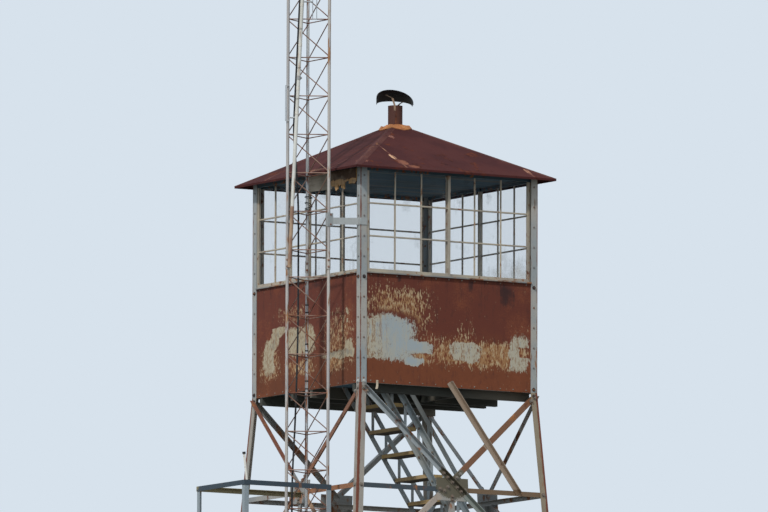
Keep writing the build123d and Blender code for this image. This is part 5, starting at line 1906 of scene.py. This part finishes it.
@dataclass(frozen=True)
class Stage:
    """Floor, sun, sky and camera."""

    floor_half: float = 300.0
    sun_to: tuple[float, float, float] = (-0.609, -0.383, 0.695)
    sun_strength: float = 2.6
    sky_light: float = 0.62
    azimuth: float = -31.6
    elevation: float = -6.15
    roll: float = 0.19
    distance: float = 160.0
    lens: float = 728.6
    aim_left: float = 0.111
    aim_up: float = 1.441

    def floor(self) -> None:
        """A wide pale floor, seen from above only."""
        material, graph = fresh("stage_floor")
        path = graph.node("ShaderNodeLightPath", {}, {})
        grain = graph.noise((0.8, 0.8, 0.8), 4.0, 2.0)
        pale = graph.blend("#c9ccce", "#d6d8d9", grain)
        colour = graph.blend("#7a7a76", pale, Value(graph, path.outputs["Is Camera Ray"]))
        matt = graph.node("ShaderNodeBsdfDiffuse", {}, {"Color": colour})
        clear = graph.node("ShaderNodeBsdfTransparent", {}, {})
        back = graph.node("ShaderNodeNewGeometry", {}, {}).outputs["Backfacing"]
        both = graph.node("ShaderNodeMixShader", {}, {0: back, 1: matt.outputs[0], 2: clear.outputs[0]})
        graph.node("ShaderNodeOutputMaterial", {}, {0: both.outputs[0]})
        mesh = bpy.data.meshes.new("stage_floor")
        half = self.floor_half
        corners = [(-half, -half, 0.0), (half, -half, 0.0), (half, half, 0.0), (-half, half, 0.0)]
        mesh.from_pydata(corners, [], [(0, 1, 2, 3)])
        mesh.materials.append(material)
        plane = bpy.data.objects.new("stage_floor", mesh)
        plane.location.z = -0.001
        bpy.context.scene.collection.objects.link(plane)

    def sky(self) -> None:
        """A pale sky that lights softly and shows plainly."""
        world = bpy.data.worlds.new("sky")
        world.use_nodes = True
        graph = Graph(world.node_tree)
        path = graph.node("ShaderNodeLightPath", {}, {}).outputs
        plain = Value(graph, path["Is Camera Ray"])
        for name in ("Is Glossy Ray", "Is Transmission Ray"):
            plain = plain.most(Value(graph, path[name]))
        light = graph.node("ShaderNodeBackground", {}, {0: (0.90, 0.95, 1.0, 1.0), 1: self.sky_light})
        seen = graph.node("ShaderNodeBackground", {}, {0: (0.68, 0.76, 0.84, 1.0), 1: 1.0})
        both = graph.node("ShaderNodeMixShader", {}, {0: plain, 1: light.outputs[0], 2: seen.outputs[0]})
        graph.node("ShaderNodeOutputWorld", {}, {0: both.outputs[0]})
        bpy.context.scene.world = world

    def sun(self) -> None:
        """The sun, high on the left."""
        lamp = bpy.data.lights.new("sun", "SUN")
        lamp.energy = self.sun_strength
        lamp.angle = math.radians(3.0)
        lamp.color = (1.0, 0.965, 0.91)
        made = bpy.data.objects.new("sun", lamp)
        made.rotation_euler = Vector(self.sun_to).to_track_quat("Z", "Y").to_euler()
        bpy.context.scene.collection.objects.link(made)

    def camera(self) -> None:
        """The camera, far off and low, looking up at the cab."""
        turn = math.radians(self.azimuth)
        lift = math.radians(self.elevation)
        back = Vector((math.sin(turn) * math.cos(lift), -math.cos(turn) * math.cos(lift), math.sin(lift)))
        right = UP.cross(back).normalized()
        above = back.cross(right)
        target = UP * PLAN.base - right * self.aim_left + above * self.aim_up
        basis = Matrix((right, above, back)).transposed() @ Matrix.Rotation(math.radians(self.roll), 3, "Z")
        lens = bpy.data.cameras.new("camera")
        lens.lens = self.lens
        lens.sensor_width = 36.0
        lens.clip_start = 1.0
        lens.clip_end = 2500.0
        made = bpy.data.objects.new("camera", lens)
        made.matrix_world = Matrix.Translation(target + back * self.distance) @ basis.to_4x4()
        bpy.context.scene.collection.objects.link(made)
        bpy.context.scene.camera = made

    def build(self) -> None:
        """Sets the stage."""
        self.floor()
        self.sky()
        self.sun()
        self.camera()
        bpy.context.scene.view_settings.view_transform = "Standard"


def main() -> None:
    """Dresses the tower and sets the stage."""
    logging.basicConfig(level=logging.INFO, format="%(name)s: %(message)s")
    Stage().build()
    finishes = Finishes()
    dress(finishes)
    for assembly in (Posts(), Bracing(), Stair(), Boards(), Cab(), Mast(), Cable(), Pole()):
        assembly.build(finishes)


if __name__ == "__main__":
    main()
